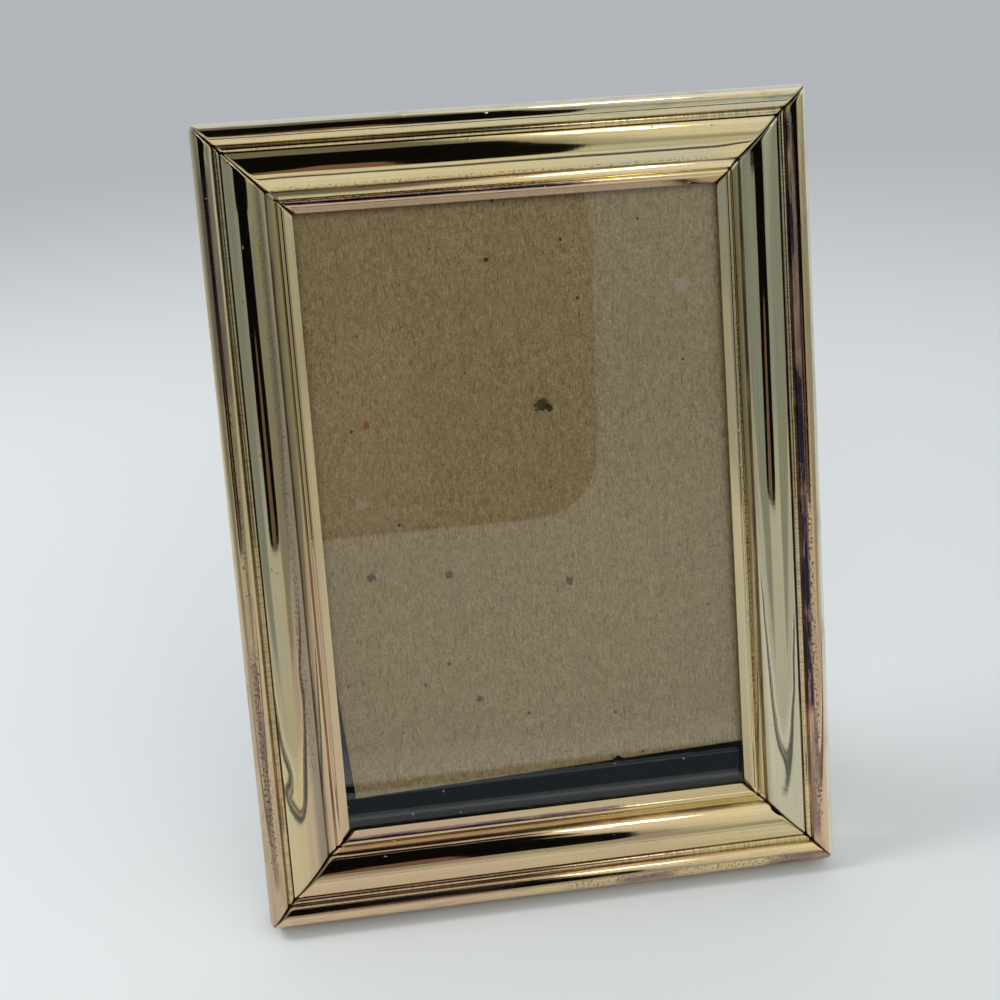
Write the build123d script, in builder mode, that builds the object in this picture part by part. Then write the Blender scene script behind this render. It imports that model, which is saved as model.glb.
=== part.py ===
from build123d import *
import os
from math import cos, radians, sin, tan

os.makedirs("parts", exist_ok=True)

# Easel back photo frame, in millimetres. It stands on its rear bottom edge and on the foot of its leg.
# +Z is up, the picture faces -Y, and the origin is on the ground under the middle of the whole object.

# Overall sizes
outer_width = 138.0
outer_height = 186.0
lean_angle = 17.0
leg_open_angle = 30.0

# Widths across the moulding's face, from its outer wall inwards
outer_bead_width = 4.3
reed_width = 1.2
dome_width = 9.3
cove_width = 2.0
lip_bead_width = 3.7

# Heights of the face above the back of its lip
outer_bead_rise = 5.85
outer_bead_end_rise = 4.8
outer_line_rise = 3.9
reed_rise = 4.15
reed_line_rise = 3.3
dome_start_rise = 3.9
dome_rise = 4.5
dome_end_rise = 2.4
dome_line_rise = 1.9
cove_middle_rise = 2.05
cove_end_rise = 2.5
cove_line_rise = 2.2
lip_bead_rise = 2.95
lip_bead_end_rise = 2.6
lip_edge_rise = 0.8

# Radii and small steps of the rolled sheet
sheet = 0.5
bend_radius = 0.8
bead_edge_radius = 1.5
lip_nose_radius = 0.4
quirk = 0.3
dome_crest_share = 0.366
lip_bead_crest_share = 0.3
lip_bead_end_share = 0.53

# The lip's cover over the picture, and the flanges that half close the moulding's back
lip_overlap = 4.1
outer_flange_width = 6.0
inner_flange_width = 5.9
mitre_gap = 0.12

# The corner keys inside the moulding
key_arm = 32.0
key_thickness = 1.2
key_clearance = 0.25

# The layers that the frame holds, from the back to the front
back_recess = 0.1
velvet_thickness = 0.5
core_thickness = 2.4
lining_thickness = 0.25
card_thickness = 0.6
glass_thickness = 2.0
layer_gap = 0.1
glass_clearance = 0.3
board_clearance = 0.4

# The loose card, cut by hand: its corners across from the frame's middle line and up from its foot
card_low_left = (-46.2, 27.1)
card_low_right = (50.6, 30.3)
card_top_right = (50.6, 165.6)
card_top_left = (-50.2, 165.6)
card_left_bend = (-49.4, 68.0)
notch_place_share = 0.65
notch_width = 2.6
notch_depth = 1.1

# The four turn buttons at the back
button_reach = 9.0
button_radius = 3.1
button_tip_radius = 2.5
button_thickness = 0.8
button_play = 0.05
button_height_share = 0.22
dimple_radius = 1.2
dimple_height = 0.4
dimple_fillet = 0.3

# The rivets
rivet_head_radius = 2.2
rivet_head_thickness = 0.6
rivet_head_fillet = 0.4
rivet_shank_radius = 1.2
rivet_flange_radius = 1.9
rivet_flange_thickness = 0.4
rivet_seat_play = 0.02
rivet_running_play = 0.05

# The leg
hinge_height_share = 0.672
leg_board_thickness = 2.0
leg_top_width = 32.0
leg_foot_width = 46.0
leg_corner_radius = 5.0
leg_top_gap = 0.5

# The hinge
knuckle_radius = 2.3
knuckle_relief = 0.1
leaf_thickness = 0.8
leaf_height = 15.0
leaf_gap = 0.4
leaf_corner_radius = 2.0
leaf_rivet_inset = 6.0
hinge_width = 30.0
leg_leaf_width = 24.0
middle_knuckle_width = 12.0
knuckle_gap = 0.3
pin_radius = 1.2
pin_seat_play = 0.02
pin_running_play = 0.06
pin_head_radius = 1.7
pin_head_thickness = 0.6

# The ribbon that stops the leg, and the flat rivets that hold its two ends
ribbon_width = 10.0
ribbon_thickness = 0.3
ribbon_tab = 10.0
ribbon_back_reach = 74.0
ribbon_leg_reach = 84.0
ribbon_rivet_head = 0.3
ribbon_rivet_fillet = 0.15

# Cuts run this far past the surface that they cut
overrun = 1.0

# Levels in front of the plane of the moulding's back
velvet_rear = back_recess
core_rear = velvet_rear + velvet_thickness
core_front = core_rear + core_thickness
lining_front = core_front + lining_thickness
card_rear = lining_front + layer_gap
glass_rear = card_rear + card_thickness + layer_gap
lip_rear = glass_rear + glass_thickness + layer_gap
rail_depth = lip_rear + outer_bead_rise

# Lines along the moulding, measured inwards from its outer wall
outer_line = outer_bead_width
reed_line = outer_line + reed_width
dome_line = reed_line + dome_width
cove_line = dome_line + cove_width
rail_width = cove_line + lip_bead_width
rebate_line = rail_width - lip_overlap
dome_crest = reed_line + dome_crest_share * dome_width
lip_bead_crest = cove_line + lip_bead_crest_share * lip_bead_width
lip_bead_end = cove_line + lip_bead_end_share * lip_bead_width

# The room behind the lip, and what fits in it
rebate_width = outer_width - 2 * rebate_line
rebate_height = outer_height - 2 * rebate_line
glass_width = rebate_width - 2 * glass_clearance
glass_height = rebate_height - 2 * glass_clearance
board_width = rebate_width - 2 * board_clearance
board_height = rebate_height - 2 * board_clearance
core_width = board_width - 2 * velvet_thickness
core_height = board_height - 2 * velvet_thickness

# The leaning axes of the frame, and those of the open leg
lean = radians(lean_angle)
leg_slope = radians(leg_open_angle - lean_angle)
across = Vector(1, 0, 0)
up_frame = Vector(0, sin(lean), cos(lean))
out_frame = Vector(0, -cos(lean), sin(lean))
up_leg = Vector(0, -sin(leg_slope), cos(leg_slope))
out_leg = Vector(0, -cos(leg_slope), -sin(leg_slope))

# Heights on the frame and on the leg; the leg's axis lies behind the board by the knuckle's radius
middle_up = outer_height / 2
hinge_up = hinge_height_share * outer_height
hinge_out = velvet_rear - knuckle_radius
leg_rear = leaf_thickness - knuckle_radius
leg_thickness = leg_board_thickness + 2 * velvet_thickness
leg_front = leg_rear + leg_thickness
leg_top = knuckle_radius + leg_top_gap

# The hinge's axis and the foot, behind the sharp rear bottom edge and above the ground
bend_drop = bend_radius * (cos(lean) + sin(lean) - 1)
axis_back = hinge_up * sin(lean) - hinge_out * cos(lean)
axis_high = hinge_up * cos(lean) + hinge_out * sin(lean) - bend_drop
foot_back = axis_back + axis_high * tan(leg_slope) - leg_rear / cos(leg_slope)
leg_length = axis_high / cos(leg_slope)
bead_centre_out = rail_depth - bead_edge_radius
face_front = bead_centre_out * cos(lean) - bead_edge_radius * sin(lean) + bead_edge_radius
frame_foot = Vector(0, (face_front - foot_back) / 2, -bend_drop)


def frame_point(side, up, out):
    """A point given across the frame, up it, and out of the plane of its back."""
    return frame_foot + across * side + up_frame * up + out_frame * out


def frame_plane(out, up=0):
    """A plane parallel to the frame's back: x across, y up the frame, z out of its front."""
    return Plane(origin=frame_point(0, up, out), x_dir=across, z_dir=out_frame)


hinge_axis = frame_point(0, hinge_up, hinge_out)


def leg_plane(out):
    """A plane parallel to the open leg: x across, y up the leg from the hinge's axis, z to the frame."""
    return Plane(origin=hinge_axis + out_leg * out, x_dir=across, z_dir=out_leg)


# The four turn buttons: the side they are on, and their height
pivot_side = outer_width / 2 - rebate_line + inner_flange_width / 2
button_step = button_height_share * outer_height
button_places = {
    "left_lower": (-1, middle_up - button_step),
    "left_upper": (-1, middle_up + button_step),
    "right_lower": (1, middle_up - button_step),
    "right_upper": (1, middle_up + button_step),
}

# The four rails go round the frame, each from its own corner along its outer wall
half_width = outer_width / 2
rail_places = {
    "rail_bottom": (frame_point(-half_width, 0, 0), across, up_frame, outer_width),
    "rail_right": (frame_point(half_width, 0, 0), up_frame, -across, outer_height),
    "rail_top": (frame_point(half_width, outer_height, 0), -across, -up_frame, outer_width),
    "rail_left": (frame_point(-half_width, outer_height, 0), -up_frame, across, outer_height),
}
mitre_step = mitre_gap * 2 ** 0.5 / 2

for name, (corner, along, inward, length) in rail_places.items():
    with BuildPart() as rail:
        # The hollow section of rolled sheet, open along the back between its two flanges
        with BuildSketch(Plane(origin=corner, x_dir=inward, z_dir=along)):
            with BuildLine():
                # The outer flange, the wall and the outer bead
                Line((outer_flange_width, 0), (bend_radius, 0))
                RadiusArc((bend_radius, 0), (0, bend_radius), bend_radius)
                Line((0, bend_radius), (0, rail_depth - bead_edge_radius))
                outer_turn = RadiusArc(
                    (0, rail_depth - bead_edge_radius), (bead_edge_radius, rail_depth), bead_edge_radius
                )
                bead = TangentArc(
                    outer_turn @ 1, (outer_line - quirk, lip_rear + outer_bead_end_rise), tangent=(1, 0)
                )
                # The reed between two fine lines
                reed_start = Line(bead @ 1, (outer_line, lip_rear + outer_line_rise))
                reed = ThreePointArc(
                    reed_start @ 1,
                    (outer_line + reed_width / 2, lip_rear + reed_rise),
                    (reed_line, lip_rear + reed_line_rise),
                )
                # The broad dome
                dome_start = Line(reed @ 1, (reed_line + quirk, lip_rear + dome_start_rise))
                dome = ThreePointArc(
                    dome_start @ 1,
                    (dome_crest, lip_rear + dome_rise),
                    (dome_line - quirk, lip_rear + dome_end_rise),
                )
                # The cove and the lip's bead
                cove_start = Line(dome @ 1, (dome_line, lip_rear + dome_line_rise))
                cove = ThreePointArc(
                    cove_start @ 1,
                    (dome_line + cove_width / 2, lip_rear + cove_middle_rise),
                    (cove_line - quirk, lip_rear + cove_end_rise),
                )
                lip_start = Line(cove @ 1, (cove_line, lip_rear + cove_line_rise))
                lip_bead = ThreePointArc(
                    lip_start @ 1,
                    (lip_bead_crest, lip_rear + lip_bead_rise),
                    (lip_bead_end, lip_rear + lip_bead_end_rise),
                )
                # The slope to the lip's edge, where the sheet turns back under itself
                slope = Line(lip_bead @ 1, (rail_width, lip_rear + lip_edge_rise))
                nose_start = Line(slope @ 1, (rail_width, lip_rear + lip_nose_radius))
                nose = RadiusArc(nose_start @ 1, (rail_width - lip_nose_radius, lip_rear), lip_nose_radius)
                seat = Line(nose @ 1, (rebate_line, lip_rear))
                # The wall beside the glass and the inner flange
                wall = Line(seat @ 1, (rebate_line, bend_radius))
                wall_turn = RadiusArc(wall @ 1, (rebate_line - bend_radius, 0), bend_radius)
                flange = Line(wall_turn @ 1, (rebate_line - inner_flange_width, 0))
                # Back along the inside of the sheet, to the outer flange
                inside = Polyline(
                    flange @ 1,
                    (rebate_line - inner_flange_width, sheet),
                    (rebate_line - sheet, sheet),
                    (rebate_line - sheet, lip_rear + sheet),
                    (rail_width - sheet, lip_rear + sheet),
                    (lip_bead_end - sheet / 2, lip_rear + lip_bead_end_rise - sheet),
                )
                inside_lip = ThreePointArc(
                    inside @ 1,
                    (lip_bead_crest, lip_rear + lip_bead_rise - sheet),
                    (cove_line + sheet, lip_rear + cove_line_rise - sheet / 2),
                )
                inside_cove = Polyline(
                    inside_lip @ 1,
                    (cove_line, lip_rear + cove_line_rise - sheet),
                    (dome_line, lip_rear + dome_line_rise - sheet),
                    (dome_line - quirk - sheet / 2, lip_rear + dome_end_rise - sheet),
                )
                inside_dome = ThreePointArc(
                    inside_cove @ 1,
                    (dome_crest, lip_rear + dome_rise - sheet),
                    (reed_line + quirk + sheet / 2, lip_rear + dome_start_rise - sheet),
                )
                inside_reed = Polyline(
                    inside_dome @ 1,
                    (reed_line, lip_rear + reed_line_rise - sheet),
                    (outer_line, lip_rear + outer_line_rise - sheet),
                    (outer_line - quirk - sheet / 2, lip_rear + outer_bead_end_rise - sheet),
                )
                inside_bead = TangentArc(
                    (bead_edge_radius, rail_depth - sheet), inside_reed @ 1, tangent=(1, 0)
                )
                inside_turn = RadiusArc(
                    (sheet, rail_depth - bead_edge_radius), inside_bead @ 0, bead_edge_radius - sheet
                )
                Polyline(
                    inside_turn @ 0,
                    (sheet, sheet),
                    (outer_flange_width, sheet),
                    (outer_flange_width, 0),
                )
            make_face()
        extrude(amount=length)

        # Both ends mitred, with half of the joint's gap on each rail
        with BuildSketch(Plane(origin=corner - out_frame * overrun, x_dir=along, z_dir=out_frame)):
            with BuildLine():
                Polyline(
                    (mitre_step - overrun, -overrun),
                    (length - mitre_step + overrun, -overrun),
                    (length - mitre_step - rail_width - overrun, rail_width + overrun),
                    (mitre_step + rail_width + overrun, rail_width + overrun),
                    close=True,
                )
            make_face()
        extrude(amount=rail_depth + 2 * overrun, mode=Mode.INTERSECT)

        # Rivet holes in the inner flange of the two upright rails
        for side, up in button_places.values():
            if name == ("rail_left" if side < 0 else "rail_right"):
                with BuildSketch(frame_plane(-overrun)):
                    with Locations((side * pivot_side, up)):
                        Circle(rivet_shank_radius + rivet_seat_play)
                extrude(amount=overrun + sheet + rivet_flange_thickness, mode=Mode.SUBTRACT)
    rail.part.label = name
    export_step(rail.part, f"parts/{name}.step")

# Flat steel keys that hold the corners together inside the moulding
key_outer = sheet + key_clearance
key_inner = rebate_line - sheet - key_clearance
corner_places = {
    "bottom_left": (-1, -1),
    "bottom_right": (1, -1),
    "top_left": (-1, 1),
    "top_right": (1, 1),
}
for name, (side, end) in corner_places.items():
    with BuildPart() as corner_key:
        with BuildSketch(frame_plane(sheet, middle_up)):
            with BuildLine():
                Polyline(
                    (side * (half_width - key_outer), end * (middle_up - key_outer)),
                    (side * (half_width - key_arm), end * (middle_up - key_outer)),
                    (side * (half_width - key_arm), end * (middle_up - key_inner)),
                    (side * (half_width - key_inner), end * (middle_up - key_inner)),
                    (side * (half_width - key_inner), end * (middle_up - key_arm)),
                    (side * (half_width - key_outer), end * (middle_up - key_arm)),
                    close=True,
                )
            make_face()
        extrude(amount=key_thickness)
    corner_key.part.label = f"corner_key_{name}"
    export_step(corner_key.part, f"parts/corner_key_{name}.step")

# The pane of glass, seated behind the lip
with BuildPart() as glass_pane:
    with BuildSketch(frame_plane(glass_rear, middle_up)):
        Rectangle(glass_width, glass_height)
    extrude(amount=glass_thickness)
glass_pane.part.label = "glass_pane"
export_step(glass_pane.part, "parts/glass_pane.step")

# The loose card, too short for the frame, with a small tear in its crooked bottom edge
low_edge = Vector(*card_low_right) - Vector(*card_low_left)
along_edge = low_edge.normalized()
notch_start = Vector(*card_low_left) + low_edge * notch_place_share
notch_end = notch_start + along_edge * notch_width
notch_tip = notch_start + along_edge * notch_width / 2 + Vector(0, notch_depth)
with BuildPart() as insert_card:
    with BuildSketch(frame_plane(card_rear)):
        with BuildLine():
            Polyline(
                card_low_left,
                notch_start,
                notch_tip,
                notch_end,
                card_low_right,
                card_top_right,
                card_top_left,
                card_left_bend,
                close=True,
            )
        make_face()
    extrude(amount=card_thickness)
insert_card.part.label = "insert_card"
export_step(insert_card.part, "parts/insert_card.step")

# The back board: its core, the dark paper on its front, and the velvet round its back and edges
leaf_rivet_side = hinge_width / 2 - leaf_rivet_inset
leaf_rivet_up = (knuckle_radius + leaf_gap + leaf_height) / 2
back_rivet_places = [(side * leaf_rivet_side, hinge_up + leaf_rivet_up) for side in (-1, 1)]
ribbon_back_rivet_up = hinge_up - ribbon_back_reach + ribbon_tab / 2
board_holes = back_rivet_places + [(0, ribbon_back_rivet_up)]
shank_hole = rivet_shank_radius + rivet_seat_play
flange_hole = rivet_flange_radius + rivet_seat_play

with BuildPart() as back_board:
    with BuildSketch(frame_plane(core_rear, middle_up)):
        Rectangle(core_width, core_height)
    extrude(amount=core_thickness)
    with BuildSketch(frame_plane(core_rear)):
        with Locations(board_holes):
            Circle(shank_hole)
    extrude(amount=core_thickness, mode=Mode.SUBTRACT)
    with BuildSketch(frame_plane(core_front)):
        with Locations(board_holes):
            Circle(flange_hole)
    extrude(amount=-rivet_flange_thickness, mode=Mode.SUBTRACT)
back_board.part.label = "back_board"
export_step(back_board.part, "parts/back_board.step")

with BuildPart() as back_lining:
    with BuildSketch(frame_plane(core_front, middle_up)):
        Rectangle(board_width, board_height)
    extrude(amount=lining_thickness)
back_lining.part.label = "back_lining"
export_step(back_lining.part, "parts/back_lining.step")

with BuildPart() as back_velvet:
    with BuildSketch(frame_plane(velvet_rear, middle_up)):
        Rectangle(board_width, board_height)
    extrude(amount=velvet_thickness + core_thickness)
    with BuildSketch(frame_plane(core_rear, middle_up)):
        Rectangle(core_width, core_height)
    extrude(amount=core_thickness, mode=Mode.SUBTRACT)
    with BuildSketch(frame_plane(velvet_rear)):
        with Locations(board_holes):
            Circle(shank_hole)
    extrude(amount=velvet_thickness, mode=Mode.SUBTRACT)
back_velvet.part.label = "back_velvet"
export_step(back_velvet.part, "parts/back_velvet.step")

# The turn buttons, flat strips that point in over the board and swivel on their rivets
button_rear = -button_play - button_thickness
for name, (side, up) in button_places.items():
    tip = (side * (pivot_side - button_reach), up)
    with BuildPart() as turn_button:
        with BuildSketch(frame_plane(button_rear)):
            with Locations((side * pivot_side, up)):
                Circle(button_radius)
            with Locations(tip):
                Circle(button_tip_radius)
            make_hull()
            with Locations((side * pivot_side, up)):
                Circle(rivet_shank_radius + rivet_running_play, mode=Mode.SUBTRACT)
        extrude(amount=button_thickness)
        with BuildSketch(frame_plane(button_rear)):
            with Locations(tip):
                Circle(dimple_radius)
        extrude(amount=-dimple_height)
        dimple_rim = turn_button.faces().sort_by(Axis((0, 0, 0), out_frame))[0].edges()
        fillet(dimple_rim, radius=dimple_fillet)
    turn_button.part.label = f"turn_button_{name}"
    export_step(turn_button.part, f"parts/turn_button_{name}.step")

# The rivets that the buttons turn on, clenched inside the moulding
head_front = button_rear - button_play
with BuildPart() as turn_button_rivets:
    with BuildSketch(frame_plane(head_front)):
        with Locations([(side * pivot_side, up) for side, up in button_places.values()]):
            Circle(rivet_head_radius)
    extrude(amount=-rivet_head_thickness)
    head_faces = turn_button_rivets.faces().group_by(Axis((0, 0, 0), out_frame))[0]
    fillet(head_faces.edges(), radius=rivet_head_fillet)
    with BuildSketch(frame_plane(head_front)):
        with Locations([(side * pivot_side, up) for side, up in button_places.values()]):
            Circle(rivet_shank_radius)
    extrude(amount=sheet - head_front)
    with BuildSketch(frame_plane(sheet)):
        with Locations([(side * pivot_side, up) for side, up in button_places.values()]):
            Circle(rivet_flange_radius)
    extrude(amount=rivet_flange_thickness)
turn_button_rivets.part.label = "turn_button_rivets"
export_step(turn_button_rivets.part, "parts/turn_button_rivets.step")

# The hinge's leaf on the board, with its two outer knuckles
knuckle_inner = middle_knuckle_width / 2 + knuckle_gap
outer_knuckle_width = hinge_width / 2 - knuckle_inner
with BuildPart() as hinge_back_leaf:
    with BuildSketch(frame_plane(velvet_rear, hinge_up)) as back_leaf_outline:
        Rectangle(hinge_width, leaf_height, align=(Align.CENTER, Align.MIN))
        fillet(back_leaf_outline.vertices().group_by(Axis.Y)[-1], radius=leaf_corner_radius)
        Rectangle(
            2 * knuckle_inner,
            2 * (knuckle_radius + leaf_gap),
            mode=Mode.SUBTRACT,
        )
        with Locations([(side * leaf_rivet_side, leaf_rivet_up) for side in (-1, 1)]):
            Circle(shank_hole, mode=Mode.SUBTRACT)
    extrude(amount=-leaf_thickness)
    for side in (-1, 1):
        knuckle_start = hinge_axis + across * side * knuckle_inner
        with BuildSketch(Plane(origin=knuckle_start, x_dir=up_frame, z_dir=across * side)):
            Circle(knuckle_radius)
        extrude(amount=outer_knuckle_width)
    with BuildSketch(Plane(origin=hinge_axis, x_dir=up_frame, z_dir=across)):
        Circle(pin_radius + pin_seat_play)
    extrude(amount=hinge_width / 2 + overrun, both=True, mode=Mode.SUBTRACT)
hinge_back_leaf.part.label = "hinge_back_leaf"
export_step(hinge_back_leaf.part, "parts/hinge_back_leaf.step")

# The hinge's leaf on the leg, with its middle knuckle
leg_rivet_side = leg_leaf_width / 2 - leaf_rivet_inset
leg_rivet_places = [(side * leg_rivet_side, -leaf_rivet_up) for side in (-1, 1)]
with BuildPart() as hinge_leg_leaf:
    with BuildSketch(leg_plane(leg_rear - leaf_thickness)) as leg_leaf_outline:
        Rectangle(leg_leaf_width, leaf_height, align=(Align.CENTER, Align.MAX))
        fillet(leg_leaf_outline.vertices().group_by(Axis.Y)[0], radius=leaf_corner_radius)
        for side in (-1, 1):
            with Locations((side * leg_leaf_width / 2, 0)):
                Rectangle(
                    leg_leaf_width - middle_knuckle_width,
                    2 * (knuckle_radius + leaf_gap),
                    mode=Mode.SUBTRACT,
                )
        with Locations(leg_rivet_places):
            Circle(shank_hole, mode=Mode.SUBTRACT)
    extrude(amount=leaf_thickness)
    with BuildSketch(Plane(origin=hinge_axis, x_dir=up_leg, z_dir=across)):
        Circle(knuckle_radius - knuckle_relief)
    extrude(amount=middle_knuckle_width / 2, both=True)
    with BuildSketch(Plane(origin=hinge_axis, x_dir=up_leg, z_dir=across)):
        Circle(pin_radius + pin_running_play)
    extrude(amount=middle_knuckle_width / 2 + overrun, both=True, mode=Mode.SUBTRACT)
hinge_leg_leaf.part.label = "hinge_leg_leaf"
export_step(hinge_leg_leaf.part, "parts/hinge_leg_leaf.step")

# The hinge's pin, headed at both ends
with BuildPart() as hinge_pin:
    with BuildSketch(Plane(origin=hinge_axis, x_dir=up_frame, z_dir=across)):
        Circle(pin_radius)
    extrude(amount=hinge_width / 2, both=True)
    for side in (-1, 1):
        pin_end = hinge_axis + across * side * hinge_width / 2
        with BuildSketch(Plane(origin=pin_end, x_dir=up_frame, z_dir=across * side)):
            Circle(pin_head_radius)
        extrude(amount=pin_head_thickness)
hinge_pin.part.label = "hinge_pin"
export_step(hinge_pin.part, "parts/hinge_pin.step")

# The rivets that hold each leaf, clenched under the lining of the board and the velvet of the leg
leaf_rivets = {
    "hinge_back_rivets": (
        frame_plane(velvet_rear - leaf_thickness),
        back_rivet_places,
        core_front - velvet_rear + leaf_thickness,
    ),
    "hinge_leg_rivets": (
        leg_plane(leg_rear - leaf_thickness),
        leg_rivet_places,
        leg_thickness - velvet_thickness + leaf_thickness,
    ),
}
for name, (head_plane, places, shank_length) in leaf_rivets.items():
    with BuildPart() as rivets:
        with BuildSketch(head_plane):
            with Locations(places):
                Circle(rivet_head_radius)
        extrude(amount=-rivet_head_thickness)
        head_faces = rivets.faces().group_by(Axis((0, 0, 0), head_plane.z_dir))[0]
        fillet(head_faces.edges(), radius=rivet_head_fillet)
        with BuildSketch(head_plane):
            with Locations(places):
                Circle(rivet_shank_radius)
        extrude(amount=shank_length)
        with BuildSketch(head_plane.offset(shank_length)):
            with Locations(places):
                Circle(rivet_flange_radius)
        extrude(amount=-rivet_flange_thickness)
    rivets.part.label = name
    export_step(rivets.part, f"parts/{name}.step")

# The leg: a board that widens to its foot, wrapped in velvet, and cut flat where it stands
leg_below = leg_length + leg_thickness + overrun
widening = (leg_foot_width - leg_top_width) / 2 / (leg_length - leg_top)
low_half_width = leg_top_width / 2 + widening * (leg_below - leg_top)
leg_outline = [
    (-leg_top_width / 2, -leg_top),
    (-low_half_width, -leg_below),
    (low_half_width, -leg_below),
    (leg_top_width / 2, -leg_top),
]
ribbon_leg_rivet_up = -ribbon_leg_reach + ribbon_tab / 2
leg_core_rear = leg_rear + velvet_thickness
leg_core_front = leg_core_rear + leg_board_thickness

with BuildPart() as leg_board:
    with BuildSketch(leg_plane(leg_core_rear)) as leg_core_outline:
        with BuildLine():
            Polyline(*leg_outline, close=True)
        make_face()
        fillet(leg_core_outline.vertices().group_by(Axis.Y)[-1], radius=leg_corner_radius)
        offset(amount=-velvet_thickness, mode=Mode.REPLACE)
    extrude(amount=leg_board_thickness)
    with BuildSketch(leg_plane(leg_core_rear)):
        with Locations(leg_rivet_places + [(0, ribbon_leg_rivet_up)]):
            Circle(shank_hole)
    extrude(amount=leg_board_thickness, mode=Mode.SUBTRACT)
    with BuildSketch(leg_plane(leg_core_front)):
        with Locations(leg_rivet_places):
            Circle(flange_hole)
    extrude(amount=-rivet_flange_thickness, mode=Mode.SUBTRACT)
    with BuildSketch(leg_plane(leg_core_rear)):
        with Locations((0, ribbon_leg_rivet_up)):
            Circle(flange_hole)
    extrude(amount=rivet_flange_thickness, mode=Mode.SUBTRACT)
    split(bisect_by=Plane.XY, keep=Keep.TOP)
leg_board.part.label = "leg_board"
export_step(leg_board.part, "parts/leg_board.step")

with BuildPart() as leg_velvet:
    with BuildSketch(leg_plane(leg_rear)) as leg_velvet_outline:
        with BuildLine():
            Polyline(*leg_outline, close=True)
        make_face()
        fillet(leg_velvet_outline.vertices().group_by(Axis.Y)[-1], radius=leg_corner_radius)
    extrude(amount=leg_thickness)
    with BuildSketch(leg_plane(leg_core_rear)):
        add(leg_core_outline.sketch_local)
    extrude(amount=leg_board_thickness, mode=Mode.SUBTRACT)
    with BuildSketch(leg_plane(leg_rear)):
        with Locations(leg_rivet_places):
            Circle(shank_hole)
    extrude(amount=velvet_thickness, mode=Mode.SUBTRACT)
    with BuildSketch(leg_plane(leg_core_front)):
        with Locations((0, ribbon_leg_rivet_up)):
            Circle(shank_hole)
    extrude(amount=velvet_thickness, mode=Mode.SUBTRACT)
    split(bisect_by=Plane.XY, keep=Keep.TOP)
leg_velvet.part.label = "leg_velvet"
export_step(leg_velvet.part, "parts/leg_velvet.step")

# The ribbon, pulled straight between its tab on the board and its tab on the leg
back_tab_end = frame_point(0, hinge_up - ribbon_back_reach + ribbon_tab, velvet_rear)
back_fold = frame_point(0, hinge_up - ribbon_back_reach, velvet_rear)
leg_fold = hinge_axis - up_leg * ribbon_leg_reach + out_leg * leg_front
leg_tab_end = hinge_axis - up_leg * (ribbon_leg_reach - ribbon_tab) + out_leg * leg_front
ribbon_points = [(point.Y, point.Z) for point in (back_tab_end, back_fold, leg_fold, leg_tab_end)]
with BuildPart() as ribbon_stay:
    with BuildSketch(Plane.YZ):
        with BuildLine():
            Polyline(*ribbon_points)
            offset(amount=ribbon_thickness, kind=Kind.INTERSECTION, side=Side.LEFT)
        make_face()
    extrude(amount=ribbon_width / 2, both=True)
    with BuildSketch(frame_plane(velvet_rear)):
        with Locations((0, ribbon_back_rivet_up)):
            Circle(shank_hole)
    extrude(amount=-ribbon_thickness - overrun, mode=Mode.SUBTRACT)
    with BuildSketch(leg_plane(leg_front)):
        with Locations((0, ribbon_leg_rivet_up)):
            Circle(shank_hole)
    extrude(amount=ribbon_thickness + overrun, mode=Mode.SUBTRACT)
ribbon_stay.part.label = "ribbon_stay"
export_step(ribbon_stay.part, "parts/ribbon_stay.step")

# The flat rivets through the ribbon's two ends
ribbon_rivets = {
    "ribbon_back_rivet": (
        frame_plane(velvet_rear - ribbon_thickness),
        ribbon_back_rivet_up,
        -1,
        core_front - velvet_rear + ribbon_thickness,
    ),
    "ribbon_leg_rivet": (
        leg_plane(leg_front + ribbon_thickness),
        ribbon_leg_rivet_up,
        1,
        leg_thickness - velvet_thickness + ribbon_thickness,
    ),
}
for name, (head_plane, up, outwards, shank_length) in ribbon_rivets.items():
    with BuildPart() as ribbon_rivet:
        with BuildSketch(head_plane):
            with Locations((0, up)):
                Circle(rivet_head_radius)
        extrude(amount=outwards * ribbon_rivet_head)
        head_face = ribbon_rivet.faces().sort_by(Axis((0, 0, 0), head_plane.z_dir * outwards))[-1]
        fillet(head_face.edges(), radius=ribbon_rivet_fillet)
        with BuildSketch(head_plane):
            with Locations((0, up)):
                Circle(rivet_shank_radius)
        extrude(amount=-outwards * shank_length)
        with BuildSketch(head_plane.offset(-outwards * shank_length)):
            with Locations((0, up)):
                Circle(rivet_flange_radius)
        extrude(amount=outwards * rivet_flange_thickness)
    ribbon_rivet.part.label = name
    export_step(ribbon_rivet.part, f"parts/{name}.step")
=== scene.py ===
# The looks of the easel back photo frame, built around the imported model
import math
import random

import bpy
from mathutils import Matrix, Vector, noise


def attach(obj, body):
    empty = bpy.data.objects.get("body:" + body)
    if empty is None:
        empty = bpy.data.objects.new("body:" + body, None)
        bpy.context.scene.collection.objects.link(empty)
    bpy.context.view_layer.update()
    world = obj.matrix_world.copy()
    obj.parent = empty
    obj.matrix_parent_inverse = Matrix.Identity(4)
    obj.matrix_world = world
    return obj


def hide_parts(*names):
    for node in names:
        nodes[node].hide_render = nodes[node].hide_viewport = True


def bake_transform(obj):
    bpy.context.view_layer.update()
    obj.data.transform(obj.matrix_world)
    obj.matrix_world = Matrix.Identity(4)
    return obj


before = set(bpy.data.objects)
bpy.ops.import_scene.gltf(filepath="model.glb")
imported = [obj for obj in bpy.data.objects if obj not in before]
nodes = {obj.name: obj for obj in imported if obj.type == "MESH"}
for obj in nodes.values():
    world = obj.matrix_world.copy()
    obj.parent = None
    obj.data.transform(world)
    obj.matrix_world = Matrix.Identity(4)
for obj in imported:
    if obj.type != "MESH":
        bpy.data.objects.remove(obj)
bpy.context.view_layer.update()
mm = 0.001
diagonal = 0.70711  # the sine of 45 degrees
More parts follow.
